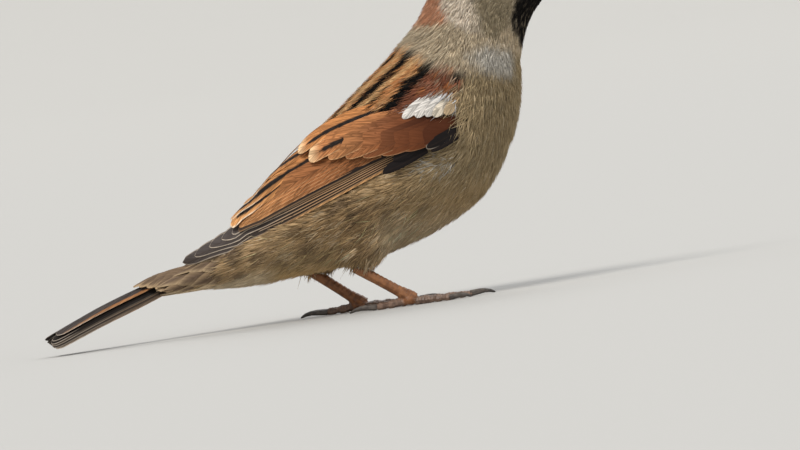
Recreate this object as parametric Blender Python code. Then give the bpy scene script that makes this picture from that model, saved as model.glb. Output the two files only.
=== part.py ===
"""House sparrow, adult male, life size: the solids of a still model standing on a floor.

+X is the way it faces, its right side is towards -Y, and Z is up. The origin is on the floor, under
the middle of the model's box. The trunk, neck and head are one loft through a table of ribs, parted
by thin cuts across it. The folded wings are the outer layer of that loft, lifted off the trunk.
"""

import math

import bmesh
import bpy
import numpy as np
from mathutils import Matrix, Vector

MM = 0.001

# The whole bird
BILL_TIP = (57.6 * MM, 79.3 * MM)  # ahead of the right foot's root, and above the floor
TAIL_TIP_BEHIND = 94.6 * MM  # behind the right foot's root
FOOT_AHEAD = (TAIL_TIP_BEHIND - BILL_TIP[0]) / 2  # of the right foot's root from the origin
GAP = 0.3 * MM  # the thin cut between two pieces
CLEARANCE = 0.38 * MM  # the same round a socket or a wing, where faceted curves face each other

# Ribs of the trunk, neck and head, from the wing tips to the forehead, in millimetres. Each is a
# slice from the back to the belly: the point on the back and the point on the belly, measured ahead
# of the right foot's root and above the floor, the half width, how far down the slice it is widest,
# and how pointed it is above and below (1 is an ellipse, less is squarer, more is pointed).
RIBS = np.array(
    [
        (-58.5, 20.5, -59.0, 9.8, 5.6, 0.36, 1.00, 1.00),
        (-50.6, 24.6, -51.0, 10.3, 8.0, 0.42, 1.05, 1.00),
        (-41.5, 30.1, -40.5, 10.0, 10.9, 0.46, 1.10, 1.00),
        (-32.0, 37.1, -29.0, 10.9, 14.4, 0.48, 1.08, 0.98),
        (-22.5, 44.4, -16.0, 11.8, 17.6, 0.48, 1.05, 0.95),
        (-14.0, 50.5, -3.0, 14.3, 19.8, 0.48, 1.00, 0.95),
        (-6.0, 56.5, 9.5, 18.6, 20.8, 0.48, 0.96, 0.95),
        (0.2, 61.4, 20.7, 25.5, 20.6, 0.49, 0.95, 0.95),
        (4.5, 65.2, 28.2, 37.0, 19.2, 0.50, 0.95, 0.95),
        (8.0, 68.4, 31.9, 46.6, 16.9, 0.50, 0.97, 0.95),
        (10.6, 71.6, 33.8, 57.4, 14.3, 0.50, 1.00, 0.95),
        (13.2, 75.4, 37.4, 66.2, 12.3, 0.50, 1.00, 0.98),
        (16.6, 81.4, 41.9, 71.2, 11.4, 0.46, 0.98, 1.10),
        (21.2, 87.3, 44.6, 74.4, 10.7, 0.44, 0.96, 1.30),
        (28.0, 91.3, 45.8, 77.4, 9.6, 0.44, 0.98, 1.35),
        (35.4, 91.7, 46.0, 80.6, 7.7, 0.46, 1.00, 1.20),
        (41.0, 89.2, 46.0, 83.4, 5.2, 0.50, 1.00, 1.00),
        (44.0, 86.8, 45.9, 85.0, 2.4, 0.50, 1.00, 1.00),
    ]
)

# How finely the shapes are faceted
BACK_POINTS, WING_POINTS, BELLY_POINTS = 4, 7, 9  # round half of a trunk slice
HEAD_POINTS = 15  # round half of a neck or head slice
TRUNK_STEP, HEAD_STEP, WING_STEP = 0.33, 0.4, 0.4  # ribs between slices
BILL_POINTS = 10
LEG_SIDES, TOE_SIDES, CLAW_SIDES = 10, 7, 6
EYE_FACES = (14, 8)
THIGH_FACES = (16, 8)
SHARP_ANGLE = math.radians(40)

# Where the loft is cut, as rib numbers
TAIL_COVERTS_CUT = 1.3
RUMP_CUT = 2.8
BREAST_CUT = 7.2
NECK_CUT = 9.9
HEAD_CUT = 12.0
LAST_RIB = 17.0

# Folded wing: rib number, and its upper and lower edges as fractions of the slice from the back
WING_EDGES = np.array(
    [
        (-0.02, 0.00, 0.02),
        (1.0, 0.00, 0.31),
        (2.0, 0.00, 0.37),
        (3.0, 0.01, 0.43),
        (4.0, 0.05, 0.47),
        (5.0, 0.13, 0.52),
        (6.0, 0.20, 0.555),
        (7.0, 0.25, 0.61),
        (8.0, 0.27, 0.57),
        (8.7, 0.31, 0.43),
    ]
)
WING_FRONT = 8.7
COVERTS_CUT = 4.7  # the tips of the greater coverts
TERTIAL_TIP = 1.75
WING_TIP = -0.02
WING_THICKNESS = 2.1 * MM
WING_TIP_THICKNESS = 1.1 * MM
PRIMARY_STEP = 0.5 * MM  # the primaries lie this much under the secondaries' face
WING_LIFT = 0.35 * MM  # between the wing's underside and the trunk

# Sleeve of feathers round the tail's root: place, top, bottom and half width, in millimetres
TAIL_COVERTS = np.array(
    [
        (-48.9, 21.3, 10.3, 8.0),
        (-53.5, 19.8, 10.2, 7.2),
        (-58.0, 18.1, 9.8, 6.7),
        (-62.0, 16.9, 9.2, 6.4),
        (-65.6, 15.7, 8.5, 6.0),
    ]
)

# Tail, folded into a low roof
TAIL_ROOT = (-65.9 * MM, 15.8 * MM)
TAIL_SLOPE = math.radians(21.6)
TAIL_ROOT_DEPTH = 7.3 * MM
TAIL_TIP_DEPTH = 5.2 * MM
TAIL_ROOT_HALF = 5.6 * MM
TAIL_TIP_HALF = 7.0 * MM
TAIL_THICKNESS = 1.5 * MM
TAIL_NOTCH = 1.3 * MM

# Eyes
EYE_PLACE = (37.5 * MM, 83.4 * MM)
EYE_RADIUS = 3.3 * MM
EYE_PROUD = 0.85 * MM  # how far the eyeball stands out of the cheek

# Bill: place, upper edge, gape line, lower edge and half width, in millimetres
BILL = np.array(
    [
        (44.4, 84.4, 79.4, 76.1, 3.9),
        (46.6, 84.5, 79.7, 76.0, 3.8),
        (49.6, 84.0, 79.8, 76.4, 3.3),
        (52.6, 82.9, 79.7, 77.2, 2.5),
        (55.3, 81.4, 79.5, 78.1, 1.5),
        (57.0, 80.1, 79.2, 78.7, 0.65),
    ]
)

# Legs. Each foot's root, and the heel that the tarsus comes down from, ahead of the right foot's root
STANCE_HALF = 10.0 * MM
FOOT_ROOTS = {"right": -2.9 * MM, "left": -15.4 * MM}
HEELS = {"right": (-18.2 * MM, 13.7 * MM), "left": (-29.4 * MM, 14.3 * MM)}
FOOT_HEIGHT = 2.3 * MM
TARSUS_BARE = 0.2  # share of the tarsus hidden in the thigh's feathers
TARSUS_STOPS = (0.0, 0.45, 0.8, 1.0)
TARSUS_RADII = (1.45 * MM, 1.3 * MM, 1.35 * MM, 1.75 * MM)
FOOT_PAD = Vector((1.5 * MM, 0, -0.9 * MM))  # the middle of the pad from the foot's root
FOOT_PAD_RADIUS = 1.6 * MM
THIGHS = {"right": (-11.6 * MM, 16.2 * MM), "left": (-22.6 * MM, 16.0 * MM)}
THIGH_RADII = (7.2 * MM, 5.4 * MM, 5.4 * MM)

# Toes: 1 points back and 2 to 4 forward, 2 on the inner side. Heading away from straight ahead
# (outwards is positive), start ahead of and beside the foot's root, length from there, thickness,
# and length of the claw
TOES = {
    1: (math.radians(176), -2.1 * MM, 0.15 * MM, 6.6 * MM, 1.05 * MM, 6.2 * MM),
    2: (math.radians(-27), 1.9 * MM, -1.85 * MM, 8.2 * MM, 0.95 * MM, 5.0 * MM),
    3: (math.radians(-2), 2.5 * MM, 0.0 * MM, 13.2 * MM, 1.0 * MM, 5.6 * MM),
    4: (math.radians(22), 1.9 * MM, 1.85 * MM, 9.4 * MM, 0.95 * MM, 4.9 * MM),
}
TOE_PADS = {1: 2, 2: 3, 3: 4, 4: 4}


def material(name, colour, roughness, metallic=0.0):
    """A Principled material of one plain colour."""
    made = bpy.data.materials.new(name)
    made.use_nodes = True
    shader = made.node_tree.nodes["Principled BSDF"]
    shader.inputs["Base Color"].default_value = (*colour, 1)
    shader.inputs["Roughness"].default_value = roughness
    shader.inputs["Metallic"].default_value = metallic
    made.diffuse_color = (*colour, 1)
    return made


def collection(name):
    made = bpy.data.collections.new(name)
    bpy.context.scene.collection.children.link(made)
    return made


def spline(rows, keys, at):
    """The rows of a table at a place between its keys, by a cubic through the four nearest rows."""
    i = int(np.clip(np.searchsorted(keys, at) - 1, 0, len(keys) - 2))
    step = keys[i + 1] - keys[i]
    u = (at - keys[i]) / step

    def slope(j):
        low, high = max(j - 1, 0), min(j + 1, len(keys) - 1)
        return (rows[high] - rows[low]) / (keys[high] - keys[low]) * step

    a, b = rows[i], rows[i + 1]
    m, n = slope(i), slope(i + 1)
    return (
        (2 * u**3 - 3 * u**2 + 1) * a
        + (u**3 - 2 * u**2 + u) * m
        + (3 * u**2 - 2 * u**3) * b
        + (u**3 - u**2) * n
    )


def rib(t):
    """Back point, belly point, half width, widest share and the two powers at rib number t."""
    row = spline(RIBS, np.arange(len(RIBS)), t)
    back = np.array([row[0] * MM + FOOT_AHEAD, row[1] * MM])
    belly = np.array([row[2] * MM + FOOT_AHEAD, row[3] * MM])
    return back, belly, row[4] * MM, row[5], row[6], row[7]


def skin_point(t, angle, inset, side):
    """A point of the loft: angle 0 is on the back and pi on the belly, and side is -1 for the right."""
    back, belly, half, widest, over, under = rib(t)
    depth = np.linalg.norm(belly - back)
    down = (belly - back) / depth
    centre = back + down * widest * depth
    reach = (widest if angle < math.pi / 2 else 1 - widest) * depth - inset
    power = over if angle < math.pi / 2 else under
    along = centre - down * reach * math.cos(angle)
    across = (half - inset) * max(math.sin(angle), 0.0) ** power
    return Vector((along[0], side * across, along[1]))


def rib_normal(t):
    """The way a rib's slice faces, towards the head."""
    back, belly = rib(t)[:2]
    down = (belly - back) / np.linalg.norm(belly - back)
    return Vector((-down[1], 0, down[0]))


def angle_at(t, share):
    """The angle on the rib at a share of the slice from the back."""
    widest = rib(t)[3]
    share = min(max(share, 0.0), 1.0)
    reach = widest if share < widest else 1 - widest
    return math.acos(min(max((widest - share) / reach, -1.0), 1.0))


def flank(x, z):
    """The loft's half width at a place seen from the side."""
    low, high = 0.0, LAST_RIB
    for _ in range(40):
        middle = (low + high) / 2
        back, belly = rib(middle)[:2]
        down, to = belly - back, np.array([x, z]) - back
        if down[0] * to[1] - down[1] * to[0] > 0:
            low = middle
        else:
            high = middle
    back, belly = rib(low)[:2]
    down = belly - back
    share = float(np.dot(np.array([x, z]) - back, down) / np.dot(down, down))
    return skin_point(low, angle_at(low, share), 0.0, 1).y


def finish(name, mesh, home, surface):
    """An object of this mesh, its faces turned outwards, in the collection home."""
    build = bmesh.new()
    build.from_mesh(mesh)
    bmesh.ops.recalc_face_normals(build, faces=build.faces)
    build.to_mesh(mesh)
    build.free()
    mesh.materials.append(surface)
    mesh.shade_smooth()
    mesh.set_sharp_from_angle(angle=SHARP_ANGLE)
    made = bpy.data.objects.new(name, mesh)
    home.objects.link(made)
    return made


def loft(name, rings, home, surface):
    """A closed solid through rings of the same number of points, with flat ends."""
    build = bmesh.new()
    rows = [[build.verts.new(point) for point in ring] for ring in rings]
    count = len(rows[0])
    for near, far in zip(rows, rows[1:]):
        for j in range(count):
            k = (j + 1) % count
            build.faces.new((near[j], near[k], far[k], far[j]))
    build.faces.new(rows[0])
    build.faces.new(rows[-1])
    mesh = bpy.data.meshes.new(name)
    build.to_mesh(mesh)
    build.free()
    return finish(name, mesh, home, surface)


def shell(name, outer, inner, home, surface):
    """A closed plate between two grids of points."""
    rings = []
    for top, bottom in zip(outer, inner):
        rings.append(list(top) + list(reversed(bottom)))
    return loft(name, rings, home, surface)


def subtract(target, cutter):
    """Takes the cutter away from the target, and leaves the cutter as a hidden guide."""
    cutter.hide_render = True
    cutter.display_type = "WIRE"
    cut = target.modifiers.new(cutter.name, "BOOLEAN")
    cut.operation = "DIFFERENCE"
    cut.solver = "EXACT"
    cut.object = cutter


def wing_span(t):
    """The angles of the wing's upper and lower edges on a rib, and the angle of one thin gap."""
    row = spline(WING_EDGES, WING_EDGES[:, 0], t)
    back, belly, half, widest = rib(t)[:4]
    gap = CLEARANCE / min(half, widest * np.linalg.norm(belly - back))
    return angle_at(t, row[1]), angle_at(t, row[2]), gap


def wing_thickness(t):
    share = min(max((t - WING_TIP) / (COVERTS_CUT - WING_TIP), 0.0), 1.0)
    return WING_TIP_THICKNESS + (WING_THICKNESS - WING_TIP_THICKNESS) * share


def end_shift(t, places):
    """Half a gap inwards at either end of a piece."""
    if t == places[0]:
        return GAP / 2
    return -GAP / 2 if t == places[-1] else 0.0


def body_ring(t, pocket, shift=0.0, bare_back=False):
    """One ring of the trunk. A pocket is sunk into it where the wing lies."""
    upper, lower, gap = wing_span(min(t, WING_FRONT))
    if bare_back:
        upper = gap
    sunk = wing_thickness(t) + WING_LIFT if pocket else 0.0
    angles = [(a, sunk if bare_back else 0.0) for a in np.linspace(0, upper, BACK_POINTS)]
    angles += [(a, sunk) for a in np.linspace(upper + gap, lower - gap, WING_POINTS)]
    angles += [(a, 0.0) for a in np.linspace(lower, math.pi, BELLY_POINTS)]
    move = rib_normal(t) * shift
    right = [skin_point(t, a, inset, -1) + move for a, inset in angles]
    left = [skin_point(t, a, inset, 1) + move for a, inset in reversed(angles[1:-1])]
    return right + left


def body_piece(name, start, end, home, surface, bare_back=False):
    """The trunk between two cuts."""
    places = list(np.linspace(start, end, round((end - start) / TRUNK_STEP) + 1))
    if start < WING_FRONT < end:
        places = [t for t in places if abs(t - WING_FRONT) > TRUNK_STEP / 2]
        places = sorted(places + [WING_FRONT, WING_FRONT + 0.02])
    rings = []
    for t in places:
        rings.append(body_ring(t, t <= WING_FRONT, end_shift(t, places), bare_back))
    return loft(name, rings, home, surface)


def plain_piece(name, start, end, home, surface, close_end=False):
    """The neck or head between two cuts."""
    places = np.linspace(start, end, round((end - start) / HEAD_STEP) + 1)
    rings = []
    for t in places:
        shift = 0.0 if close_end and t == places[-1] else end_shift(t, places)
        move = rib_normal(t) * shift
        angles = np.linspace(0, math.pi, HEAD_POINTS)
        right = [skin_point(t, a, 0.0, -1) + move for a in angles]
        left = [skin_point(t, a, 0.0, 1) + move for a in angles[-2:0:-1]]
        rings.append(right + left)
    return loft(name, rings, home, surface)


def wing_piece(name, side, start, end, edges, across, sink, home, surface):
    """Part of the folded wing, from rib start to rib end, between the two edges that a rib gives."""
    outer, inner = [], []
    places = np.linspace(start, end, round((end - start) / WING_STEP) + 1)
    for t in places:
        shift = -CLEARANCE if t == WING_FRONT else end_shift(t, places)
        move = rib_normal(t) * shift
        upper, lower = edges(t)
        angles = np.linspace(upper, lower, across)
        outer.append([skin_point(t, a, sink, side) + move for a in angles])
        under = wing_thickness(t)
        inner.append([skin_point(t, a, under, side) + move for a in angles])
    return shell(name, outer, inner, home, surface)


def whole_wing(t):
    upper, lower, gap = wing_span(t)
    return max(upper + 2 * gap, gap), lower - 2 * gap


def secondary_edge(t):
    """The lower edge of the secondaries, where the primaries come out from under them."""
    upper, lower = whole_wing(t)
    share = (t - TERTIAL_TIP) / (COVERTS_CUT - TERTIAL_TIP)
    return upper + (lower - upper) * (0.12 + 0.6 * max(share, 0.0) ** 0.7)


def inner_wing(t):
    upper, _ = whole_wing(t)
    return upper, secondary_edge(t)


def outer_wing(t):
    upper, lower = whole_wing(t)
    if t > TERTIAL_TIP:
        upper = secondary_edge(t) + wing_span(t)[2]
    return upper, max(lower, upper + wing_span(t)[2])


def make_wings(home, surfaces):
    for side, name in ((-1, "right"), (1, "left")):
        feathers, quills = surfaces["wing"], surfaces["primaries"]
        span = (COVERTS_CUT, WING_FRONT)
        wing_piece(f"wing_{name}_coverts", side, *span, whole_wing, 9, 0.0, home, feathers)
        span = (TERTIAL_TIP, COVERTS_CUT)
        wing_piece(f"wing_{name}_secondaries", side, *span, inner_wing, 7, 0.0, home, feathers)
        span = (WING_TIP, COVERTS_CUT)
        wing_piece(f"wing_{name}_primaries", side, *span, outer_wing, 5, PRIMARY_STEP, home, quills)


def oval_ring(x, top, bottom, half, count):
    """An upright oval across the bird."""
    centre, reach = (top + bottom) / 2, (top - bottom) / 2
    turns = [2 * math.pi * i / count for i in range(count)]
    return [Vector((x, half * math.sin(a), centre + reach * math.cos(a))) for a in turns]


def make_tail(home, surfaces):
    rows = TAIL_COVERTS * MM
    places = np.linspace(rows[0, 0], rows[-1, 0], 7)
    rings = []
    for x in places:
        row = spline(rows[::-1], rows[::-1, 0], x)
        rings.append(oval_ring(x + FOOT_AHEAD, row[1], row[2], row[3], 20))
    loft("tail_coverts", rings, home, surfaces["rump"])

    root = Vector((TAIL_ROOT[0] + FOOT_AHEAD, 0, TAIL_ROOT[1]))
    back = Vector((-math.cos(TAIL_SLOPE), 0, -math.sin(TAIL_SLOPE)))
    down = Vector((0, 0, -1))
    length = (TAIL_TIP_BEHIND + TAIL_ROOT[0]) / math.cos(TAIL_SLOPE)
    outer, inner = [], []
    for v in np.linspace(0, 1, 8):
        top, bottom = [], []
        half = TAIL_ROOT_HALF + (TAIL_TIP_HALF - TAIL_ROOT_HALF) * v
        depth = TAIL_ROOT_DEPTH + (TAIL_TIP_DEPTH - TAIL_ROOT_DEPTH) * v
        for w in np.linspace(-1, 1, 11):
            # Rounded feather tips: the middle pair is shorter, and so is the outer edge.
            short = TAIL_NOTCH * (0.5 + 0.5 * math.cos(math.pi * min(abs(w) * 1.5, 1.0)))
            short += TAIL_NOTCH * 1.2 * max(abs(w) - 0.7, 0.0) / 0.3
            run = length - short * v
            thick = TAIL_THICKNESS * (1 - 0.35 * abs(w))
            drop = (depth - TAIL_THICKNESS) * abs(w) ** 1.7
            place = root + back * run * v + Vector((0, half * w, 0))
            top.append(place + down * drop)
            bottom.append(place + down * (drop + thick))
        outer.append([rest_on_floor(point) for point in top])
        inner.append([rest_on_floor(point) for point in bottom])
    shell("tail", outer, inner, home, surfaces["tail"])


def rest_on_floor(point):
    """Nothing goes through the floor: what would is laid flat on it."""
    return Vector((point.x, point.y, max(point.z, 0.0)))


def bill_ring(row, top, bottom, grow=0.0):
    """A slice of one half of the bill: round away from the gape line, and flat along it."""
    x, half = row[0] + FOOT_AHEAD, row[4] + grow
    ring = []
    for i in range(BILL_POINTS + 1):
        a = math.pi * i / BILL_POINTS
        height = bottom + (top - bottom) * math.sin(a) ** 0.75
        ring.append(Vector((x, half * math.cos(a), height)))
    return ring


def make_bill(home, guides, surfaces, head):
    rows = BILL * MM
    upper, lower, socket = [], [], []
    places = np.linspace(rows[0, 0], rows[-1, 0], 9)
    for x in places:
        row = spline(rows, rows[:, 0], x)
        upper.append(bill_ring(row, row[1], row[2] + GAP / 2))
        lower.append(bill_ring(row, row[3], row[2] - GAP / 2))
    tip = BILL_TIP[0] + FOOT_AHEAD
    upper.append([Vector((tip, p.y * 0.2, BILL_TIP[1] + (p.z - BILL_TIP[1]) * 0.3)) for p in upper[-1]])
    loft("bill_upper", upper, home, surfaces["bill"])
    loft("bill_lower", lower, home, surfaces["bill"])
    for x in (rows[0, 0] - GAP, rows[1, 0], rows[2, 0]):
        row = spline(rows, rows[:, 0], max(x, rows[0, 0]))
        row[0] = x
        over = bill_ring(row, row[1] + GAP, row[2], GAP)
        under = bill_ring(row, row[3] - GAP, row[2], GAP)
        socket.append(over + under[-2:0:-1])
    subtract(head, loft("bill_socket", socket, guides, surfaces["bill"]))


def ball(name, centre, radii, home, surface, fine):
    """A sphere stretched to three radii."""
    build = bmesh.new()
    bmesh.ops.create_uvsphere(build, u_segments=fine[0], v_segments=fine[1], radius=1)
    place = Matrix.Translation(centre) @ Matrix.Diagonal((*radii, 1))
    bmesh.ops.transform(build, matrix=place, verts=build.verts)
    mesh = bpy.data.meshes.new(name)
    build.to_mesh(mesh)
    build.free()
    return finish(name, mesh, home, surface)


def make_eyes(home, guides, surfaces, head):
    x, z = EYE_PLACE[0] + FOOT_AHEAD, EYE_PLACE[1]
    out = flank(x, z) + EYE_PROUD - EYE_RADIUS
    for side, name in ((-1, "right"), (1, "left")):
        centre = Vector((x, side * out, z))
        ball(f"eye_{name}", centre, (EYE_RADIUS,) * 3, home, surfaces["eye"], EYE_FACES)
        hole = (EYE_RADIUS + CLEARANCE,) * 3
        subtract(head, ball(f"eye_socket_{name}", centre, hole, guides, surfaces["eye"], EYE_FACES))


def tube(name, points, radii, sides, home, surface):
    """A round bar along points, with a radius at each, laid flat where it meets the floor."""
    rings = []
    for i, point in enumerate(points):
        ahead = points[min(i + 1, len(points) - 1)] - points[max(i - 1, 0)]
        ahead.normalize()
        across = Vector((0, 0, 1)).cross(ahead)
        across.normalize()
        up = ahead.cross(across)
        ring = []
        for k in range(sides):
            a = 2 * math.pi * (k + 0.5) / sides
            offset = across * math.cos(a) + up * math.sin(a)
            ring.append(rest_on_floor(point + offset * radii[i]))
        rings.append(ring)
    return loft(name, rings, home, surface)


def make_leg(name, side, home, guides, surfaces, bodies):
    root = Vector((FOOT_ROOTS[name] + FOOT_AHEAD, side * STANCE_HALF, FOOT_HEIGHT))
    heel = Vector((HEELS[name][0] + FOOT_AHEAD, side * STANCE_HALF, HEELS[name][1]))
    thigh = Vector((THIGHS[name][0] + FOOT_AHEAD, side * STANCE_HALF, THIGHS[name][1]))
    ball(f"thigh_{name}", thigh, THIGH_RADII, home, surfaces["belly"], THIGH_FACES)
    wide = [radius + CLEARANCE for radius in THIGH_RADII]
    room = ball(f"thigh_room_{name}", thigh, wide, guides, surfaces["belly"], THIGH_FACES)
    for body in bodies:
        subtract(body, room)

    # The bare tarsus starts where its line leaves the thigh's feathers, and ends in the foot's pad.
    start = heel.lerp(root, TARSUS_BARE)
    line = [start.lerp(root, stop) for stop in TARSUS_STOPS]
    line.append(root + FOOT_PAD)
    radii = [*TARSUS_RADII, FOOT_PAD_RADIUS]
    tarsus = tube(f"tarsus_{name}", line, radii, LEG_SIDES, home, surfaces["leg"])
    subtract(tarsus, room)
    around = [start - (root - start) * 0.12, start, line[1]]
    width = [TARSUS_RADII[0] + CLEARANCE] * len(around)
    hole = tube(f"tarsus_room_{name}", around, width, LEG_SIDES, guides, surfaces["leg"])
    for body in bodies:
        subtract(body, hole)
    for toe in TOES:
        make_toe(toe, name, side, root, home, surfaces)


def make_toe(toe, name, side, root, home, surfaces):
    turn, first, beside, length, radius, claw = TOES[toe]
    ahead = Vector((math.cos(turn), side * math.sin(turn), 0))
    start = Vector((root.x + first, root.y + side * beside, 0))
    pads = TOE_PADS[toe]
    points, radii = [], []
    steps = 3 * pads
    for i in range(steps + 1):
        v = i / steps
        swell = 0.5 - 0.5 * math.cos(2 * math.pi * pads * v)
        thick = radius * (1.12 - 0.3 * v) * (0.86 + 0.2 * swell)
        points.append(start + ahead * length * v + Vector((0, 0, radius * (1.02 - 0.25 * v))))
        radii.append(thick)
    tube(f"toe_{name}_{toe}", points, radii, TOE_SIDES, home, surfaces["leg"])

    # The claw leaves the last pad level and hooks down to the floor.
    base = points[-1] + ahead * GAP
    points, radii = [], []
    for i in range(6):
        v = i / 5
        rise = 0.35 * MM * math.sin(math.pi * min(v * 1.3, 1.0))
        drop = (base.z - 0.22 * MM) * v**2.2
        reach = claw * math.sin(v * 1.45) / math.sin(1.45)
        points.append(base + ahead * reach + Vector((0, 0, rise - drop)))
        radii.append(radius * (0.72 * (1 - v) ** 0.8 + 0.12))
    tube(f"claw_{name}_{toe}", points, radii, CLAW_SIDES, home, surfaces["claw"])


def make_sparrow():
    for old in list(bpy.data.objects):
        bpy.data.objects.remove(old, do_unlink=True)
    home, guides = collection("house_sparrow"), collection("cutters")
    surfaces = {
        "crown": material("crown", (0.30, 0.25, 0.22), 0.85),
        "neck": material("neck", (0.42, 0.38, 0.32), 0.85),
        "breast": material("breast", (0.40, 0.37, 0.31), 0.85),
        "belly": material("belly", (0.34, 0.30, 0.24), 0.85),
        "rump": material("rump", (0.27, 0.21, 0.15), 0.85),
        "wing": material("wing", (0.30, 0.13, 0.05), 0.75),
        "primaries": material("primaries", (0.08, 0.06, 0.05), 0.7),
        "tail": material("tail", (0.10, 0.075, 0.06), 0.7),
        "bill": material("bill", (0.03, 0.028, 0.028), 0.4),
        "eye": material("eye", (0.01, 0.006, 0.004), 0.08),
        "leg": material("leg", (0.33, 0.15, 0.10), 0.55),
        "claw": material("claw", (0.07, 0.055, 0.05), 0.4),
    }
    rump = body_piece("rump", TAIL_COVERTS_CUT, RUMP_CUT, home, surfaces["rump"], bare_back=True)
    trunk = body_piece("trunk", RUMP_CUT, BREAST_CUT, home, surfaces["belly"])
    body_piece("breast", BREAST_CUT, NECK_CUT, home, surfaces["breast"])
    plain_piece("neck", NECK_CUT, HEAD_CUT, home, surfaces["neck"])
    head = plain_piece("head", HEAD_CUT, LAST_RIB, home, surfaces["crown"], close_end=True)
    make_wings(home, surfaces)
    make_tail(home, surfaces)
    make_bill(home, guides, surfaces, head)
    make_eyes(home, guides, surfaces, head)
    for side, name in ((-1, "right"), (1, "left")):
        make_leg(name, side, home, guides, surfaces, [trunk, rump] if name == "left" else [trunk])


make_sparrow()
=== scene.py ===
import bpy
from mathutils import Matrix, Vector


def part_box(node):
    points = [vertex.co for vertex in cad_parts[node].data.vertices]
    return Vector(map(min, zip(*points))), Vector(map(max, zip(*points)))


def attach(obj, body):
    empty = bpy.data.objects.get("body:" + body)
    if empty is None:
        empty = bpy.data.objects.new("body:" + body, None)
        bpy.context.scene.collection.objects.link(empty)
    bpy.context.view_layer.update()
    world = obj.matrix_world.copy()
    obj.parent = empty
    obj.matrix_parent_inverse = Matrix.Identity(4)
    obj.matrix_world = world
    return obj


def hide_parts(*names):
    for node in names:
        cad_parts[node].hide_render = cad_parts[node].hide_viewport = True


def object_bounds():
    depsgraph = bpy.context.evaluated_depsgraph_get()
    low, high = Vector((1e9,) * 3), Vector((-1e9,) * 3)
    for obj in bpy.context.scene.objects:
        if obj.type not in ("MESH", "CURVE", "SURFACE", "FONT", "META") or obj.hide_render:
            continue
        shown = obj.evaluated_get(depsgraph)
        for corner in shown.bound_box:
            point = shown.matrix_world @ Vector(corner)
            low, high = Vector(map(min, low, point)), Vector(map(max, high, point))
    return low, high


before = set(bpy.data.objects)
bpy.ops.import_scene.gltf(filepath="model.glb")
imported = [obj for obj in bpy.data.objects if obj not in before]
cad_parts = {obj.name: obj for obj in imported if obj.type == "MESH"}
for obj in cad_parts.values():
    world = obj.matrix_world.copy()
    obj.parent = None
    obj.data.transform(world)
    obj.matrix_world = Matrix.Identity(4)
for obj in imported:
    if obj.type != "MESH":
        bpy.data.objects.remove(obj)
cad_box = [list(corner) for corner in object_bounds()]

import math

import bmesh
import bpy
import numpy as np
from mathutils import Matrix, Vector
from mathutils.bvhtree import BVHTree

# ---------------------------------------------------------------------------------------------
# Body form. A sparrow's outline is the outside of its feathers; the skin lies a little under it.
# The head, neck, breast, trunk, rump and thighs are one closed form with the folded wings laid in,
# and the bare skin is that form drawn in by the depth of the plumage.
MM = 0.001
SIDES = {"right": -1, "left": 1}
CUT_FILL = 0.3 * MM  # swells each solid until the thin cuts between them close
FORM_GRAIN = 0.62 * MM
FORM_ROUNDS = 14
FLESH = ["head", "neck", "breast", "trunk", "rump", "tail_coverts", "thigh_right", "thigh_left"]
PLATES = ("coverts", "secondaries", "primaries")
WINGS = [f"wing_{side}_{part}" for side in SIDES for part in PLATES]


def solid_of(*nodes):
    """The solids of these nodes, as one bmesh."""
    build = bmesh.new()
    for name in nodes:
        build.from_mesh(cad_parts[name].data)
    return build


def tree_round(*nodes):
    """A search tree of these nodes' solids."""
    build = solid_of(*nodes)
    made = BVHTree.FromBMesh(build)
    build.free()
    return made


def united(nodes, swell, grain, balls=()):
    """One closed mesh round these solids, and round any balls given as a middle and three radii."""
    build = solid_of(*nodes)
    for middle, radii in balls:
        shape = Matrix.Translation(middle) @ Matrix.Diagonal((*radii, 1))
        bmesh.ops.create_icosphere(build, subdivisions=3, radius=1.0, matrix=shape)
    bmesh.ops.remove_doubles(build, verts=build.verts, dist=0.001 * MM)
    build.normal_update()
    for corner in build.verts:
        corner.co += corner.normal * swell
    mesh = bpy.data.meshes.new("united")
    build.to_mesh(mesh)
    build.free()
    holder = add_piece("united", mesh)
    remesh = holder.modifiers.new("fill", "REMESH")
    remesh.mode = "VOXEL"
    remesh.voxel_size = grain
    remesh.use_smooth_shade = True
    made = plain_mesh(holder, "form")
    bpy.data.objects.remove(holder)
    return made


def add_piece(name, mesh):
    made = bpy.data.objects.new(name, mesh)
    bpy.context.scene.collection.objects.link(made)
    return made


def plain_mesh(holder, name):
    """What the object's modifiers make of it, as a mesh of its own."""
    graph = bpy.context.evaluated_depsgraph_get()
    made = bpy.data.meshes.new_from_object(holder.evaluated_get(graph), depsgraph=graph)
    made.name = name
    return made


def points_of(mesh):
    found = np.empty(len(mesh.vertices) * 3)
    mesh.vertices.foreach_get("co", found)
    return found.reshape(-1, 3)


def unit(ways):
    """These ways, each drawn to a length of one."""
    return ways / np.maximum(np.linalg.norm(ways, axis=-1, keepdims=True), 1e-9)


def normals_of(mesh):
    found = np.empty(len(mesh.vertices) * 3, np.float32)
    mesh.vertex_normals.foreach_get("vector", found)
    return found.reshape(-1, 3).astype(float)


def put_points(mesh, points):
    mesh.vertices.foreach_set("co", np.ascontiguousarray(points, np.float32).ravel())
    mesh.update()


def evened(mesh, values, rounds, keep=False):
    """Values at the mesh's points, drawn towards their neighbours' mean; keep holds the volume."""
    ends = np.empty(len(mesh.edges) * 2, np.int64)
    mesh.edges.foreach_get("vertices", ends)
    a, b = ends.reshape(-1, 2).T
    count = len(mesh.vertices)
    degree = np.maximum(np.bincount(a, minlength=count) + np.bincount(b, minlength=count), 1)
    values = np.array(values, float).reshape(count, -1)
    for step in range(rounds):
        mean = np.empty_like(values)
        for k in range(values.shape[1]):
            total = np.bincount(a, values[b, k], count) + np.bincount(b, values[a, k], count)
            mean[:, k] = total / degree
        share = -0.53 if keep and step % 2 else 0.5
        values = values + (mean - values) * share
    return values


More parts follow.
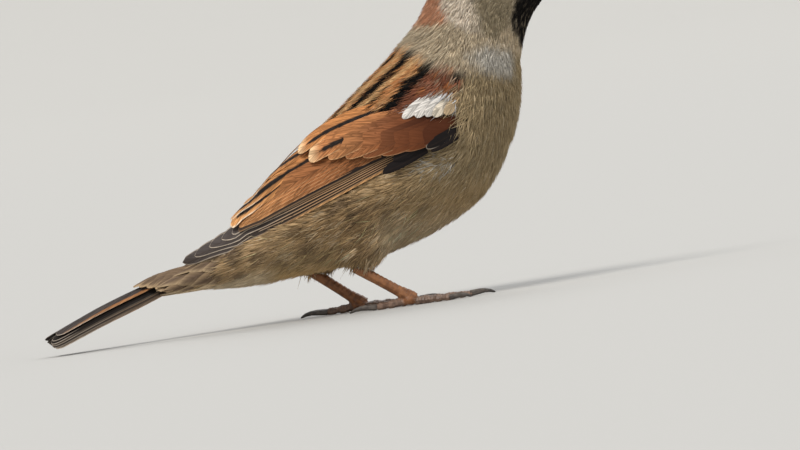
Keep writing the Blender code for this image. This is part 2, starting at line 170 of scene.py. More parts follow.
def smoothstep(low, high, value):
    part = np.clip((np.asarray(value, float) - low) / (high - low), 0, 1)
    return part * part * (3 - 2 * part)


def eased(mesh):
    """Smooths a form and draws it in by its swell; its points, and its normals before that."""
    points = evened(mesh, points_of(mesh), FORM_ROUNDS, keep=True)
    put_points(mesh, points)
    out = normals_of(mesh)
    points = points - out * CUT_FILL
    put_points(mesh, points)
    return points, out


def tree_of(mesh, points):
    """A search tree of a mesh with these points."""
    faces = [list(face.vertices) for face in mesh.polygons]
    return BVHTree.FromPolygons([Vector(point) for point in points], faces)


FILLED = ["bill_upper", "bill_lower", "eye_right", "eye_left"]
form = united(FLESH + WINGS + FILLED, CUT_FILL, FORM_GRAIN)
form_points, _ = eased(form)
form_tree = tree_of(form, form_points)

# Over the back and flank the feathers lie in rows, so places there are told as a feather sorter
# would: how far up the folded wing from its tip, and how far round the body from the middle of
# the back. The left side is the right one mirrored.
wing_low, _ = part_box("wing_right_primaries")
fore_low, fore_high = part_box("wing_right_coverts")
TIP_RISE = 0.6 * MM
BEND_SHARE = 0.355  # of the coverts' height, where the wing bends
WING_TIP = np.array([wing_low.x, wing_low.z + TIP_RISE])
WING_BEND = np.array([fore_high.x, fore_low.z + BEND_SHARE * (fore_high.z - fore_low.z)])
UP_WING = (WING_BEND - WING_TIP) / np.linalg.norm(WING_BEND - WING_TIP)
OFF_WING = np.array([-UP_WING[1], UP_WING[0]])
UP_STATIONS = np.arange(-6.0, 92.1, 1.0) * MM
ROUND_STATIONS = np.arange(0.0, 64.1, 0.5) * MM
BACK_ROUNDS = 6
FAR_OUTSIDE = 80 * MM
FREE_TIP = (22 * MM, 30 * MM)  # where the rows of the wing's free tip run into the body's


def form_hit(start, way, tree=form_tree):
    hit = tree.ray_cast(Vector(start), Vector(way))
    return None if hit[0] is None else np.array(hit[0])


def across_wing(up, aside, over):
    """A point from its place up the wing, out to the right side, and over the wing's line."""
    place = WING_TIP + UP_WING * up + OFF_WING * over
    return np.array([place[0], -aside, place[1]])


def even_row(ring):
    """A row's points at the round stations, from the points found round it."""
    ring = np.array(ring)
    run = np.concatenate([[0], np.cumsum(np.linalg.norm(np.diff(ring, axis=0), axis=1))])
    row = np.stack([np.interp(ROUND_STATIONS, run, ring[:, k]) for k in range(3)], axis=1)
    beyond = np.maximum(ROUND_STATIONS - run[-1], 0)[:, None]
    ahead = ring[-1] - ring[max(len(ring) - 6, 0)]
    return row + beyond * ahead / np.linalg.norm(ahead)


def ways_round(start, degrees):
    """Ways turned from this one towards the right side, by these angles."""
    aside = np.array([0, -1, 0])
    return [start * math.cos(turn) + aside * math.sin(turn) for turn in np.radians(degrees)]


def tip_row(up, over_way):
    """A row over the wing's free tip, found from outside on the wing's own solids."""
    heart = across_wing(max(up, 0.5 * MM), 0, -1.0 * MM)
    ring = []
    for way in ways_round(over_way, np.arange(2, 110, 1.5)):
        found = form_hit(heart + way * FAR_OUTSIDE / 2, -way, tip_tree)
        if found is not None and np.dot(found - heart, way) > 0:
            ring.append(found)
    return even_row(ring) if len(ring) > 3 else None


tip_tree = tree_round("wing_right_primaries", "wing_right_secondaries")


def back_rows():
    """The form's surface at each station up the wing and round the body."""
    rows = []
    over_way = across_wing(0, 0, 1) - across_wing(0, 0, 0)
    for up in UP_STATIONS:
        top = form_hit(across_wing(up, 0, FAR_OUTSIDE), -over_way)
        if top is None:
            rows.append(None)
            continue
        low = form_hit(top - over_way * 0.5 * MM, -over_way)
        depth = np.linalg.norm(top - low) if low is not None else 8 * MM
        heart = top - over_way * min(0.45 * depth, 11 * MM)
        ring = [top]
        for way in ways_round(over_way, np.arange(2, 164, 2)):
            found = form_hit(heart, way)
            if found is not None:
                ring.append(found)
        row = even_row(ring)
        tip = tip_row(up, over_way) if up < FREE_TIP[1] else None
        if tip is not None:
            row = tip + (row - tip) * smoothstep(*FREE_TIP, up)
        rows.append(row if up > 1 * MM else None)
    known = [i for i, row in enumerate(rows) if row is not None]
    for i, row in enumerate(rows):
        if row is None:
            near = min(known, key=lambda other: abs(other - i))
            step = UP_STATIONS[i] - UP_STATIONS[near]
            rows[i] = rows[near] + np.array([UP_WING[0], 0, UP_WING[1]]) * step
    return np.array(rows)


def even_rows(table, rounds):
    """Draws a table's inner rows towards the rows beside them."""
    inner = table[1:-1]
    for _ in range(rounds):
        inner += 0.25 * (table[:-2] + table[2:] - 2 * inner)


def read_at(table, row, column):
    """A table's points read between its rows and columns."""
    i, j = row.astype(int), column.astype(int)
    p, q = (row - i)[..., None], (column - j)[..., None]
    low = table[i, j] * (1 - p) * (1 - q) + table[i + 1, j] * p * (1 - q)
    return low + table[i, j + 1] * (1 - p) * q + table[i + 1, j + 1] * p * q


back_map = back_rows()
even_rows(back_map, BACK_ROUNDS)
back_normals = unit(np.cross(np.gradient(back_map, axis=1), np.gradient(back_map, axis=0)))


def stations_at(values, stations):
    """Where these values lie among even stations, held inside them."""
    return np.clip((values - stations[0]) / (stations[1] - stations[0]), 0, len(stations) - 1.001)


def on_back(up, around, rise, side):
    """Places on one side: up the wing, round the body from the middle of the back, and above it."""
    flip = np.where(around < 0, -1, 1)
    row, column = stations_at(up, UP_STATIONS), stations_at(np.abs(around), ROUND_STATIONS)
    out = unit(read_at(back_normals, row, column))
    place = read_at(back_map, row, column) + out * rise[..., None]
    place[..., 1] *= -side * flip
    return place


# Plumage markings of an adult cock in spring, told by place on the body: grey crown, chestnut from
# the eye down the nape, pale cheek, black bib, striped back and grey-brown underparts. The skin and
# every small feather take their colour from this one set of markings.
bill_low, bill_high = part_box("bill_upper")
eye_low, eye_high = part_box("eye_right")
EYE = np.array([(low + high) / 2 for low, high in zip(eye_low, eye_high)])
EYE_RADIUS = (eye_high.x - eye_low.x) / 2
GAPE = np.array([bill_low.x, 0, bill_low.z])
SHADES = {name: np.array(shade) for name, shade in {
    "grey": (0.25, 0.215, 0.185),
    "chestnut": (0.72, 0.36, 0.21),
    "cheek": (0.375, 0.305, 0.20),
    "collar": (0.70, 0.57, 0.40),
    "slate": (0.66, 0.63, 0.575),
    "breast": (0.44, 0.335, 0.195),
    "belly": (0.53, 0.375, 0.20),
    "flank": (0.42, 0.275, 0.14),
    "vent": (0.62, 0.42, 0.20),
    "umber": (0.15, 0.105, 0.07),
    "black": (0.012, 0.010, 0.009),
    "rust": (0.80, 0.31, 0.10),
    "straw": (1.0, 0.67, 0.33),
    "lesser": (0.33, 0.125, 0.070),
    "buff": (0.50, 0.315, 0.16),
    "white": (0.95, 0.94, 0.91),
    "pale": (0.93, 0.80, 0.65),
    "cream": (0.78, 0.64, 0.44),
    "rump": (0.60, 0.41, 0.22),
}.items()}
# Outlines in millimetres: places up the wing and round the body, places ahead and above the floor,
# and places ahead of the eye and above it
OUTLINES = {
    "white_bar": ("wing", (
        (65.5, 24.4), (74, 25.4), (76.0, 27.6), (79.8, 30.6), (80, 32.4), (77.7, 33.4),
        (73.9, 32.0), (70.5, 30.0), (66.8, 26.4),
    )),
    "bend": ("wing", (
        (60, 21.5), (69, 20.5), (79, 19.5), (83, 22), (85, 28), (82, 30.2), (79.4, 31), (76, 27.7),
        (74, 25.8), (67, 25.2),
    )),
    "neck_top": ("body", ((22, 66), (30, 58), (38, 55), (50, 58), (58, 62), (56, 84), (30, 82))),
    "slate": ("body", ((38.5, 59), (42, 54.5), (47, 53), (50.5, 54.5), (49, 59.5), (43, 61.5))),
    "below_bib": ("body", ((44, 50), (53, 48), (53, 57), (46, 58))),
    "cheek": ("head", (
        (-21.5, -9), (-20.5, -15), (-16.5, -17.6), (-10, -20.5), (-5.5, -17), (-4.5, -12.5),
        (-0.5, -7.5), (4.5, -4.4), (3.0, -2.9), (-1, -3.0), (-6, -0.5), (-12, -0.6), (-17, -3.5),
    )),
    "below_eye": ("head", ((-3.5, -5), (-9, -2.5), (-10, -6), (-5, -9))),
    "nape": ("head", (
        (-4.4, 1.3), (-3.0, -0.9), (-10, -0.2), (-17.5, -3.8), (-21, -9.5), (-20.2, -15.5),
        (-26, -15.4), (-30, -15), (-26, -4), (-20, 8), (-8, 9), (-2.6, 4.6),
    )),
    "behind_eye": ("head", ((-5.2, 3.4), (-7.6, 2.6), (-6.6, 1.4), (-4.6, 2.0))),
    "lores": ("head", (
        (-4.2, 0.8), (-3.4, -2.6), (0, -4.2), (4, -4.6), (9, -7.5), (9, 2.4), (5.5, 2.6),
        (2.6, 3.2), (0, 4.1), (-3.4, 3.2),
    )),
    "bib": ("head", (
        (9, -3.6), (4, -4.6), (-0.6, -8.3), (-3.6, -12.0), (-5.4, -15.4), (-5.2, -19.5),
        (-4.2, -23.4), (-2, -27), (4, -24), (9, -12),
    )),
}
PALE_LINES = (((52, 6.6), (62, 6.4), (74, 8.0)), ((56, 13.0), (66, 13.6), (75, 15.2)))
BLACK_LINES = (
    (((50, 10.6), (53, 10.2), (58, 9.9), (63, 10.4), (67, 11.0), (72, 11.4), (76.5, 11.9)), 2.9),
    (((53, 17.6), (56, 18.2), (61, 19.4), (66, 20.2), (70, 19.9), (74, 19.8), (80, 18.8)), 2.9),
    (((42, 4.8), (49, 4.2), (54, 2.9), (60, 2.3), (69, 2.6), (75, 4.4)), 1.9),
    (((56, 14.2), (61, 14.8), (66, 15.4)), 0.8),
    (((82, 27.4), (84, 28.6)), 2.2),
)
COLLAR_ROUND = [0, 8.8, 13.8, 19, 25, 29.5, 32]
COLLAR_UP = [73, 75.5, 77.8, 79.2, 82.6, 84.8, 84]


def ripple(points, size, seed):
    """Smooth noise between -1 and 1 whose bumps are about this size."""
    rng = np.random.default_rng(seed)
    total = np.zeros(len(points))
    for _ in range(7):
        way = rng.normal(size=3)
        way *= rng.uniform(0.6, 1.5) * 2 * math.pi / size / np.linalg.norm(way)
        bend = rng.normal(size=3)
        bend *= 2 * math.pi / size / 1.7 / np.linalg.norm(bend)
        swerve = 1.6 * np.sin(points @ bend + rng.uniform(0, 6.3))
        total += np.sin(points @ way + swerve + rng.uniform(0, 6.3))
    return total / 4.2


BATCH = 20000  # points looked up at one time


def back_place(points):
    """How far up the wing and round the body each point lies, either side."""
    flat = points[:, [0, 2]] - WING_TIP
    up = flat @ UP_WING
    row = stations_at(up, UP_STATIONS)
    aside = np.abs(points[:, 1])
    around = np.empty(len(points))
    for start in range(0, len(points), BATCH):
        part = slice(start, start + BATCH)
        near = back_map[np.round(row[part]).astype(int)]
        gap = (near[:, :, 0] - points[part, None, 0]) ** 2
        gap += (near[:, :, 2] - points[part, None, 2]) ** 2
        gap += (near[:, :, 1] + aside[part, None]) ** 2
        around[part] = ROUND_STATIONS[np.argmin(gap, axis=1)]
    return up / MM, around / MM


def off_line(a, b, start, end):
    """How far each place (a, b) is from the line between two places."""
    (x, y), (p, q) = start, end
    run = np.clip(((a - x) * (p - x) + (b - y) * (q - y)) / ((p - x) ** 2 + (q - y) ** 2), 0, 1)
    return np.hypot(a - x - run * (p - x), b - y - run * (q - y))


def within(a, b, corners, soft):
    """How far each place is inside an outline, from 0 to 1 over a soft edge, in millimetres."""
    corners = np.array(corners, float)
    nearest = np.full(len(a), 1e9)
    odd = np.zeros(len(a), bool)
    for (x, y), (p, q) in zip(corners, np.roll(corners, -1, axis=0)):
        nearest = np.minimum(nearest, off_line(a, b, (x, y), (p, q)))
        if y != q:
            odd ^= (b > min(y, q)) & (b <= max(y, q)) & (a < x + (b - y) * (p - x) / (q - y))
    return smoothstep(-soft, soft, np.where(odd, nearest, -nearest))


def stripe(a, b, line, width, soft):
    """A band along a line of places, told in the same way."""
    nearest = np.full(len(a), 1e9)
    for start, end in zip(line, line[1:]):
        nearest = np.minimum(nearest, off_line(a, b, start, end))
    return smoothstep(-soft, soft, width / 2 - nearest)


def plumage(points):
    """The colour of the plumage at each point, as rows of red, green and blue."""
    points = np.asarray(points, float)
    wander = np.stack([ripple(points, 3.0 * MM, seed) for seed in (11, 12, 13)], axis=1)
    place = points + wander * 0.45 * MM
    up, around = back_place(place)
    ahead = (place[:, 0] - EYE[0]) / MM
    above = (place[:, 2] - EYE[2]) / MM
    aside = np.abs(place[:, 1]) / MM
    turn = np.degrees(np.arctan2(aside, above + 1.8))
    colour = np.tile(SHADES["belly"], (len(points), 1))

    def paint(shade, share):
        nonlocal colour
        colour = colour + (SHADES[shade] - colour) * np.clip(share, 0, 1)[:, None]

    def marked(name, soft):
        kind, corners = OUTLINES[name]
        return within(*places[kind], corners, soft)

    # Underparts, from the vent forward
    height = place[:, 2] / MM
    forward = place[:, 0] / MM
    places = {"wing": (up, around), "body": (forward, height), "head": (ahead, above)}
    paint("breast", smoothstep(14, 34, forward) * smoothstep(22, 34, height))
    side = smoothstep(8, 15, aside) * (1 - smoothstep(4, 26, forward))
    paint("flank", side * 0.85)
    # Soft streaks along the flank, where brown bases and pale tips part
    axis = np.array([0.86, 0, 0.5])
    run = (points @ axis)[:, None]
    streaks = ripple(points - axis * run * 0.78, 2.6 * MM, 61)
    low_side = (1 - smoothstep(12, 34, forward)) * smoothstep(3, 8, aside)
    paint("umber", smoothstep(0.2, 0.9, streaks) * low_side * 0.6)
    paint("cream", smoothstep(0.3, 1.0, -streaks) * low_side * 0.5)
    fine_streaks = ripple(points - axis * run * 0.86, 1.1 * MM, 62)
    colour = colour * (1 + 0.5 * fine_streaks * low_side)[:, None]
    paint("cream", smoothstep(27, 17, height) * smoothstep(7, 14, forward) * 0.6)
    low_down = (1 - smoothstep(4, 10, aside)) * (1 - smoothstep(12, 17, height))
    paint("vent", smoothstep(10, -6, forward) * low_down)
    # Back, rump and tail coverts
    over = 1 - smoothstep(19, 24, around)
    paint("rump", over * (1 - smoothstep(34, 44, up)))
    # Tail end: broad brown-centred feathers with buff edges, paler below
    rear = smoothstep(-13, -22, forward)
    girth = np.degrees(np.arctan2(aside, height - 17.5 + 0.38 * (-24 - forward)))
    paint("rump", rear * (1 - smoothstep(100, 140, girth)))
    rows = forward / 5.6
    row = np.floor(rows)
    across = (girth / 40.0 + 0.5 * (row % 2)) % 1.0 - 0.5
    centre = 1 - smoothstep(0.6, 1.3, np.hypot((rows - row - 0.6) / 0.45, across / 0.32))
    paint("umber", rear * centre * 0.7 * (1 - smoothstep(120, 150, girth)))
    paint("cream", smoothstep(-14, -20, forward) * smoothstep(112, 138, girth) * 0.9)
    paint("rust", over * smoothstep(34, 46, up))
    patchy = 0.5 + 0.5 * ripple(points, 5 * MM, 21)
    paint("straw", over * smoothstep(36, 46, up) * patchy * 0.75)
    for line in PALE_LINES:
        paint("straw", stripe(up, around, line, 1.9, 0.8) * 0.95)
    # Lesser coverts at the bend of the wing, and the white bar of the median ones below them
    paint("lesser", marked("bend", 0.9))
    streaky = ripple(points, 2.6 * MM, 33)
    paint("rust", marked("bend", 1.2) * smoothstep(0.25, 0.9, streaky) * 0.55)
    light = smoothstep(0.15, 0.8, -streaky) * smoothstep(70, 78, up)
    paint("collar", marked("bend", 1.6) * light * 0.5)
    foremost = smoothstep(77.0, 79.5, up)
    paint("buff", marked("white_bar", 0.45) * foremost)
    paint("white", marked("white_bar", 0.35) * (1 - foremost))
    # Black streaks of the mantle and the scapulars
    blot = np.clip((0.9 + 0.3 * ripple(points, 4 * MM, 31)) * 1.4, 0, 1)
    for line, width in BLACK_LINES:
        paint("black", stripe(up, around, line, width, 0.35) * blot)
    # Collar, and the slate patch on the side of the breast
    past_collar = up - np.interp(around, COLLAR_ROUND, COLLAR_UP)
    paint("collar", smoothstep(-1.2, 1.2, past_collar) * (1 - smoothstep(25, 32, around)))
    paint("collar", marked("neck_top", 2.0))
    paint("slate", marked("slate", 1.9) * smoothstep(5, 9, aside) * 0.85)
    paint("breast", marked("below_bib", 2.5) * (1 - smoothstep(3, 9, aside)) * 0.6)
    # Head
    cheek = marked("cheek", 0.7)
    paint("cheek", cheek)
    paint("pale", cheek * smoothstep(-11.5, -16, ahead))
    paint("pale", marked("below_eye", 1.6) * 0.5)
    paint("chestnut", marked("nape", 0.8))
    crown = smoothstep(-2, 2, 46 - turn + 7 * smoothstep(-10, 4, ahead))
    paint("grey", crown * smoothstep(-19, -15, ahead) * smoothstep(-3, 1, above))
    paint("cheek", marked("behind_eye", 0.35) * 0.9)
    paint("black", marked("lores", 0.45) * smoothstep(2.0, 3.2, aside))
    bib = marked("bib", 0.8)
    bib_side = 1 - smoothstep(8.6, 9.8, aside)
    paint("black", bib * bib_side)
    fade = bib * smoothstep(-11, -18, above)
    scales = smoothstep(0.25, 0.8, ripple(points, 1.5 * MM, 41))
    paint("collar", fade * scales * 0.42)
    return colour


# The skin. Bare, thin and loose over the muscle, closed from the bill's root to the tail. It takes
# the markings of the plumage, because the feathers' bases show through wherever they part.
SHAPE_ROUNDS, OUTWARD_ROUNDS, DEPTH_ROUNDS, CALM_ROUNDS, LIE_ROUNDS = 30, 12, 8, 90, 6
UNDER_WING_DEPTH = 2.3 * MM
COAT_REACH = [2, 6, 12, 20, 30, 46]  # millimetres from the gape
WING_EDGE_UP = [-6, 0, 3, 6, 13.8, 22.8, 33.3, 44.3, 50, 57, 63, 68, 75, 79]
WING_EDGE_ROUND = [3.0, 3.6, 5.6, 7.4, 10.1, 14.9, 20.7, 26.6, 29.8, 33.0, 35.0, 36.8, 39.4, 40.2]
WING_INNER_UP = [0, 20, 44, 54, 62, 66, 70, 74, 80]
WING_INNER_ROUND = [0, 0, 3, 14, 22.5, 25.5, 28.5, 31, 33]
AXIS_NODES = ("head", "neck", "breast", "trunk", "rump", "tail_coverts", "tail")
AXIS = [GAPE[[0, 2]]] + [
    np.array([(low.x + high.x) / 2, (low.z + high.z) / 2])
    for low, high in map(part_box, AXIS_NODES)
]
THIGHS = [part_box("thigh_right"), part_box("thigh_left")]


def from_thigh(points, box):
    """How far points are from the middle of a thigh, in half widths of its box."""
    low, high = box
    return np.linalg.norm((points - np.array((low + high) / 2)) / np.array(high - low) * 2, axis=1)


def along_surface(ways, out):
    """These ways, laid flat on the surface."""
    return unit(ways - out * np.sum(ways * out, axis=1, keepdims=True))


def lie_of(points, normals):
    """Which way the feathers lie at each point: back from the bill, along the body, to the tail."""
    flat = points[:, [0, 2]]
    flow = np.zeros((len(points), 3))
    for start, end in zip(AXIS, AXIS[1:]):
        run = np.clip((flat - start) @ (end - start) / np.dot(end - start, end - start), 0, 1)
        gap = np.linalg.norm(flat - start - run[:, None] * (end - start), axis=1)
        way = (end - start) / np.linalg.norm(end - start)
        flow += np.array([way[0], 0, way[1]]) / ((gap[:, None] / (6 * MM)) ** 2 + 1) ** 2
    flow = unit(flow)
    away = points - GAPE
    reach = np.linalg.norm(away, axis=1, keepdims=True)
    from_bill = 1 - smoothstep(11 * MM, 24 * MM, reach)
    flow = flow + (away / reach - flow) * from_bill
    for box in THIGHS:
        middle = (box[0] + box[1])[2] / 2
        below = smoothstep(1.7, 1.0, from_thigh(points, box))
        below = below * smoothstep(middle + 3 * MM, middle - 3 * MM, points[:, 2])
        flow = flow + (np.array([0.15, 0, -1.0]) - flow) * (0.75 * below)[:, None]
    return along_surface(flow, normals)


def one_side(points):
    """Points folded over to the right side."""
    return points * np.where(points[:, 1:2] > 0, [1, -1, 1], [1, 1, 1])


def coat_sizes(points):
    """Length, breadth and depth of the small feathers at each point, in metres."""
    reach = np.linalg.norm(points - GAPE, axis=1) / MM
    length = np.interp(reach, COAT_REACH, [0.9, 1.5, 2.3, 3.4, 5.0, 7.0])
    breadth = np.interp(reach, COAT_REACH, [0.20, 0.24, 0.28, 0.33, 0.40, 0.46])
    depth = np.interp(reach, COAT_REACH, [0.25, 0.4, 0.7, 1.1, 1.5, 1.7])
    eye_gap = np.linalg.norm(one_side(points) - EYE, axis=1) / MM
    close = smoothstep(9.0, 3.6, eye_gap)
    length *= 1 - 0.45 * close
    breadth *= 1 - 0.2 * close
    depth = depth * (1 - 0.55 * close)
    return length * MM, breadth * MM, depth * MM


def under_wing(points):
    """How far under the folded wing a point is, from 0 at its edge to 1."""
    up, around = back_place(points)
    edge = np.interp(up, WING_EDGE_UP, WING_EDGE_ROUND)
    inner = np.interp(up, WING_INNER_UP, WING_INNER_ROUND)
    inside = np.minimum(edge - around, around - inner)
    inside = np.where((up < 79) & (up > -2), inside, -1)
    return smoothstep(0.5, 3.5, inside)


WING_COVERTS = ["wing_right_coverts", "wing_left_coverts"]
skin_mesh = united(FLESH + FILLED + WING_COVERTS, CUT_FILL, FORM_GRAIN)
skin_mesh.name = "skin"
build = bmesh.new()
build.from_mesh(skin_mesh)
NEAR_EYE = 4.7 * MM
for _ in range(2):
    near = {
        corner for corner in build.verts
        if (Vector((corner.co.x, -abs(corner.co.y), corner.co.z)) - Vector(EYE)).length < NEAR_EYE
    }
    near_eye = [edge for edge in build.edges if near.issuperset(edge.verts)]
    bmesh.ops.subdivide_edges(build, edges=near_eye, cuts=1, use_grid_fill=True)
bmesh.ops.triangulate(build, faces=[face for face in build.faces if len(face.verts) > 4])
build.to_mesh(skin_mesh)
build.free()
form_points, outward = eased(skin_mesh)
outward = unit(evened(skin_mesh, outward, OUTWARD_ROUNDS))
depth = np.maximum(coat_sizes(form_points)[2], under_wing(form_points) * UNDER_WING_DEPTH)
depth = evened(skin_mesh, depth, DEPTH_ROUNDS)[:, 0]
skin_points = evened(skin_mesh, form_points - outward * depth[:, None], SHAPE_ROUNDS, keep=True)
# It closes round the stump of the tail
closing = 1 - 0.55 * smoothstep(-38.5, -45, skin_points[:, 0] / MM)
stump = np.interp(skin_points[:, 0] / MM, [-47, -18], [13.3, 20.5]) * MM
skin_points[:, 2] = stump + (skin_points[:, 2] - stump) * closing
skin_points[:, 1] *= closing
# The thigh runs into the belly with no step
calm = evened(skin_mesh, skin_points, CALM_ROUNDS)
for box in THIGHS:
    share = smoothstep(2.4, 1.2, from_thigh(skin_points, box))
    share = share * smoothstep(11.5 * MM, 15 * MM, skin_points[:, 2])
    skin_points += (calm - skin_points) * share[:, None]
# Lids: the skin dips under the ball inside the opening, and stands up in a thin rim round it
LID_OPEN = 41.0  # degrees from the middle of the eye
LID_SINK = 0.35 * MM
LID_REACH = 5 * MM
BARE_SKIN = np.array([0.035, 0.028, 0.024])
EYE_WAY = np.array([0.12, -1.0, 0.04])
EYE_WAY /= np.linalg.norm(EYE_WAY)
from_eye = one_side(skin_points) - EYE
reach = np.linalg.norm(from_eye, axis=1)
lid_angle = np.degrees(np.arccos(np.clip(from_eye @ EYE_WAY / np.maximum(reach, 1e-9), -1, 1)))
lid_turn = np.arctan2(from_eye[:, 2], from_eye[:, 0])
beyond = lid_angle - LID_OPEN * (1 + 0.07 * np.cos(2 * lid_turn))
folds = 0.05 * np.cos(beyond / 2.2) * smoothstep(3, 8, beyond)
rim = EYE_RADIUS + (0.30 * np.exp(-((beyond - 4.5) / 3.6) ** 2) + 0.10 + folds) * MM
sunk = EYE_RADIUS - LID_SINK
risen = sunk + (rim - EYE_RADIUS + LID_SINK) * smoothstep(0, 3.0, beyond)
wanted = np.where(beyond < 0, sunk, risen)
hold = (1 - smoothstep(12, 24, beyond)) * (reach < LID_REACH)
lidded = EYE + from_eye * (1 + (wanted / np.maximum(reach, 1e-9) - 1) * hold)[:, None]
skin_points = lidded * np.where(skin_points[:, 1:2] > 0, [1, -1, 1], [1, 1, 1])
put_points(skin_mesh, skin_points)
bare_lid = (1 - smoothstep(9, 13, beyond)) * (reach < LID_REACH)


def give(mesh, name, values, kind="FLOAT"):
    """Stores values on the mesh's points as a named attribute."""
    held = mesh.attributes.get(name) or mesh.attributes.new(name, kind, "POINT")
    field = {"FLOAT": "value", "FLOAT_VECTOR": "vector", "FLOAT_COLOR": "color"}[kind]
    values = np.asarray(values, float)
    if kind == "FLOAT_COLOR":
        values = np.concatenate([values, np.ones((len(values), 1))], axis=1)
    held.data.foreach_set(field, np.ascontiguousarray(values, np.float32).ravel())


def unwrapped(holder, name):
    """An unwrap of the object's own shape, in a UV map of this name."""
    while holder.data.uv_layers:
        holder.data.uv_layers.remove(holder.data.uv_layers[0])
    holder.data.uv_layers.new(name=name)
    bpy.context.view_layer.objects.active = holder
    holder.select_set(True)
    bpy.ops.object.mode_set(mode="EDIT")
    bpy.ops.mesh.select_all(action="SELECT")
    bpy.ops.uv.smart_project(angle_limit=UNWRAP_ANGLE, island_margin=UNWRAP_MARGIN)
    bpy.ops.object.mode_set(mode="OBJECT")
    holder.select_set(False)


def principled(name, **sockets):
    """A material with its own shader; the sockets given are plain numbers or colours."""
    made = bpy.data.materials.new(name)
    made.use_nodes = True
    shader = made.node_tree.nodes["Principled BSDF"]
    for socket, value in sockets.items():
        shader.inputs[socket.replace("_", " ")].default_value = value
    return made, made.node_tree, shader


def node(tree, kind, **settings):
    made = tree.nodes.new(kind)
    for key, value in settings.items():
        setattr(made, key, value)
    return made


def reading(tree, name, kind="Fac"):
    """One of the piece's own attributes: a number, or its Color or Vector."""
    made = node(tree, "ShaderNodeAttribute", attribute_type="GEOMETRY", attribute_name=name)
    return made.outputs[kind]


def put(tree, socket, value):
    """Sets a socket to a plain number or colour, or wires another socket into it."""
    if isinstance(value, bpy.types.NodeSocket):
        tree.links.new(value, socket)
    elif isinstance(value, (tuple, list, np.ndarray)) and len(value) < len(socket.default_value):
        socket.default_value = (*value, 1)
    else:
        socket.default_value = value


def chained(tree, operation):
    """A function that joins sockets or plain numbers by one operation, from the left."""

    def joined(*values):
        total = values[0]
        for value in values[1:] or (None,):
            made = node(tree, "ShaderNodeMath", operation=operation)
            put(tree, made.inputs[0], total)
            if value is not None:
                put(tree, made.inputs[1], value)
            total = made.outputs[0]
        return total

    return joined


def noise_of(tree, place, scale, detail, **more):
    made = node(tree, "ShaderNodeTexNoise")
    put(tree, made.inputs["Vector"], place)
    for socket, value in {"Scale": scale, "Detail": detail, **more}.items():
        made.inputs[socket].default_value = value
    return made.outputs["Fac"]


def own_place(tree):
    return node(tree, "ShaderNodeTexCoord").outputs["Object"]


def scaled(tree, colour, share):
    made = node(tree, "ShaderNodeVectorMath", operation="SCALE")
    put(tree, made.inputs[0], colour)
    put(tree, made.inputs["Scale"], share)
    return made.outputs[0]


def dress(tree, shader, colour, rough=None, height=None, strength=0.0, deep=0.0):
    """Wires a colour, a roughness and a relief of some millimetres into a shader."""
    put(tree, shader.inputs["Base Color"], colour)
    if rough is not None:
        put(tree, shader.inputs["Roughness"], rough)
    if height is not None:
        bump = node(tree, "ShaderNodeBump")
        for socket, value in (("Strength", strength), ("Distance", deep * MM), ("Height", height)):
            put(tree, bump.inputs[socket], value)
        put(tree, shader.inputs["Normal"], bump.outputs[0])


def blend_of(tree, share, first, second):
    """A colour mix of sockets or plain colours."""
    made = node(tree, "ShaderNodeMix", data_type="RGBA")
    for k, value in ((0, share), (6, first), (7, second)):
        put(tree, made.inputs[k], value)
    return made.outputs[2]


def ramp_of(tree, value, low, high, to_low=0.0, to_high=1.0):
    made = node(tree, "ShaderNodeMapRange", interpolation_type="SMOOTHSTEP")
    for socket, given in zip(made.inputs, (value, low, high, to_low, to_high)):
        put(tree, socket, given)
    return made.outputs[0]


def mottled(tree, grain, low, high, dark, light):
    """Two colours mixed by a grain between two of its values."""
    return blend_of(tree, ramp_of(tree, grain, low, high), dark, light)


def dressed(made, material, slot, *nodes):
    """Gives a piece its finish and its body, and the nodes that it stands for; slot is not used."""
    made.data.materials.clear()
    made.data.materials.append(material)
    made.data.shade_smooth()
    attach(made, "root")
    if nodes:
        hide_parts(*nodes)


UNWRAP_ANGLE, UNWRAP_MARGIN = math.radians(66), 0.002
skin = add_piece("skin", skin_mesh)
unwrapped(skin, "skin_map")
skin_out = unit(evened(skin_mesh, normals_of(skin_mesh), LIE_ROUNDS))
give(skin_mesh, "skin_out", skin_out, "FLOAT_VECTOR")
lie = lie_of(skin_points, skin_out)
# Beside the folded wing the feathers run along it, and round the tail's root along the tail
up_place, round_place = back_place(form_points)
past_edge = round_place - np.interp(up_place, WING_EDGE_UP, WING_EDGE_ROUND)
beside = smoothstep(9, 2, past_edge) * smoothstep(84, 74, up_place)
lie += (np.array([-UP_WING[0], 0, -UP_WING[1]]) - lie) * beside[:, None]
tail_low, tail_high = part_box("tail")
TAIL_SLOPE = math.radians(21.6)
TAIL_WAY = np.array([-math.cos(TAIL_SLOPE), 0, -math.sin(TAIL_SLOPE)])
at_tail = smoothstep(-27, -33, form_points[:, 0] / MM)
lie += (TAIL_WAY - lie) * at_tail[:, None]
lie = along_surface(evened(skin_mesh, lie, LIE_ROUNDS), skin_out)
give(skin_mesh, "lie", lie, "FLOAT_VECTOR")
length, breadth, depth = coat_sizes(form_points)
length *= 1 - 0.45 * smoothstep(-30, -38, form_points[:, 0] / MM)
length *= 1 - 0.4 * smoothstep(15, 12, form_points[:, 2] / MM) * (form_points[:, 0] > -12 * MM)
give(skin_mesh, "tuft_breadth", breadth)
shades = plumage(form_points)
shades += (BARE_SKIN - shades) * bare_lid[:, None]
give(skin_mesh, "plumage", shades, "FLOAT_COLOR")

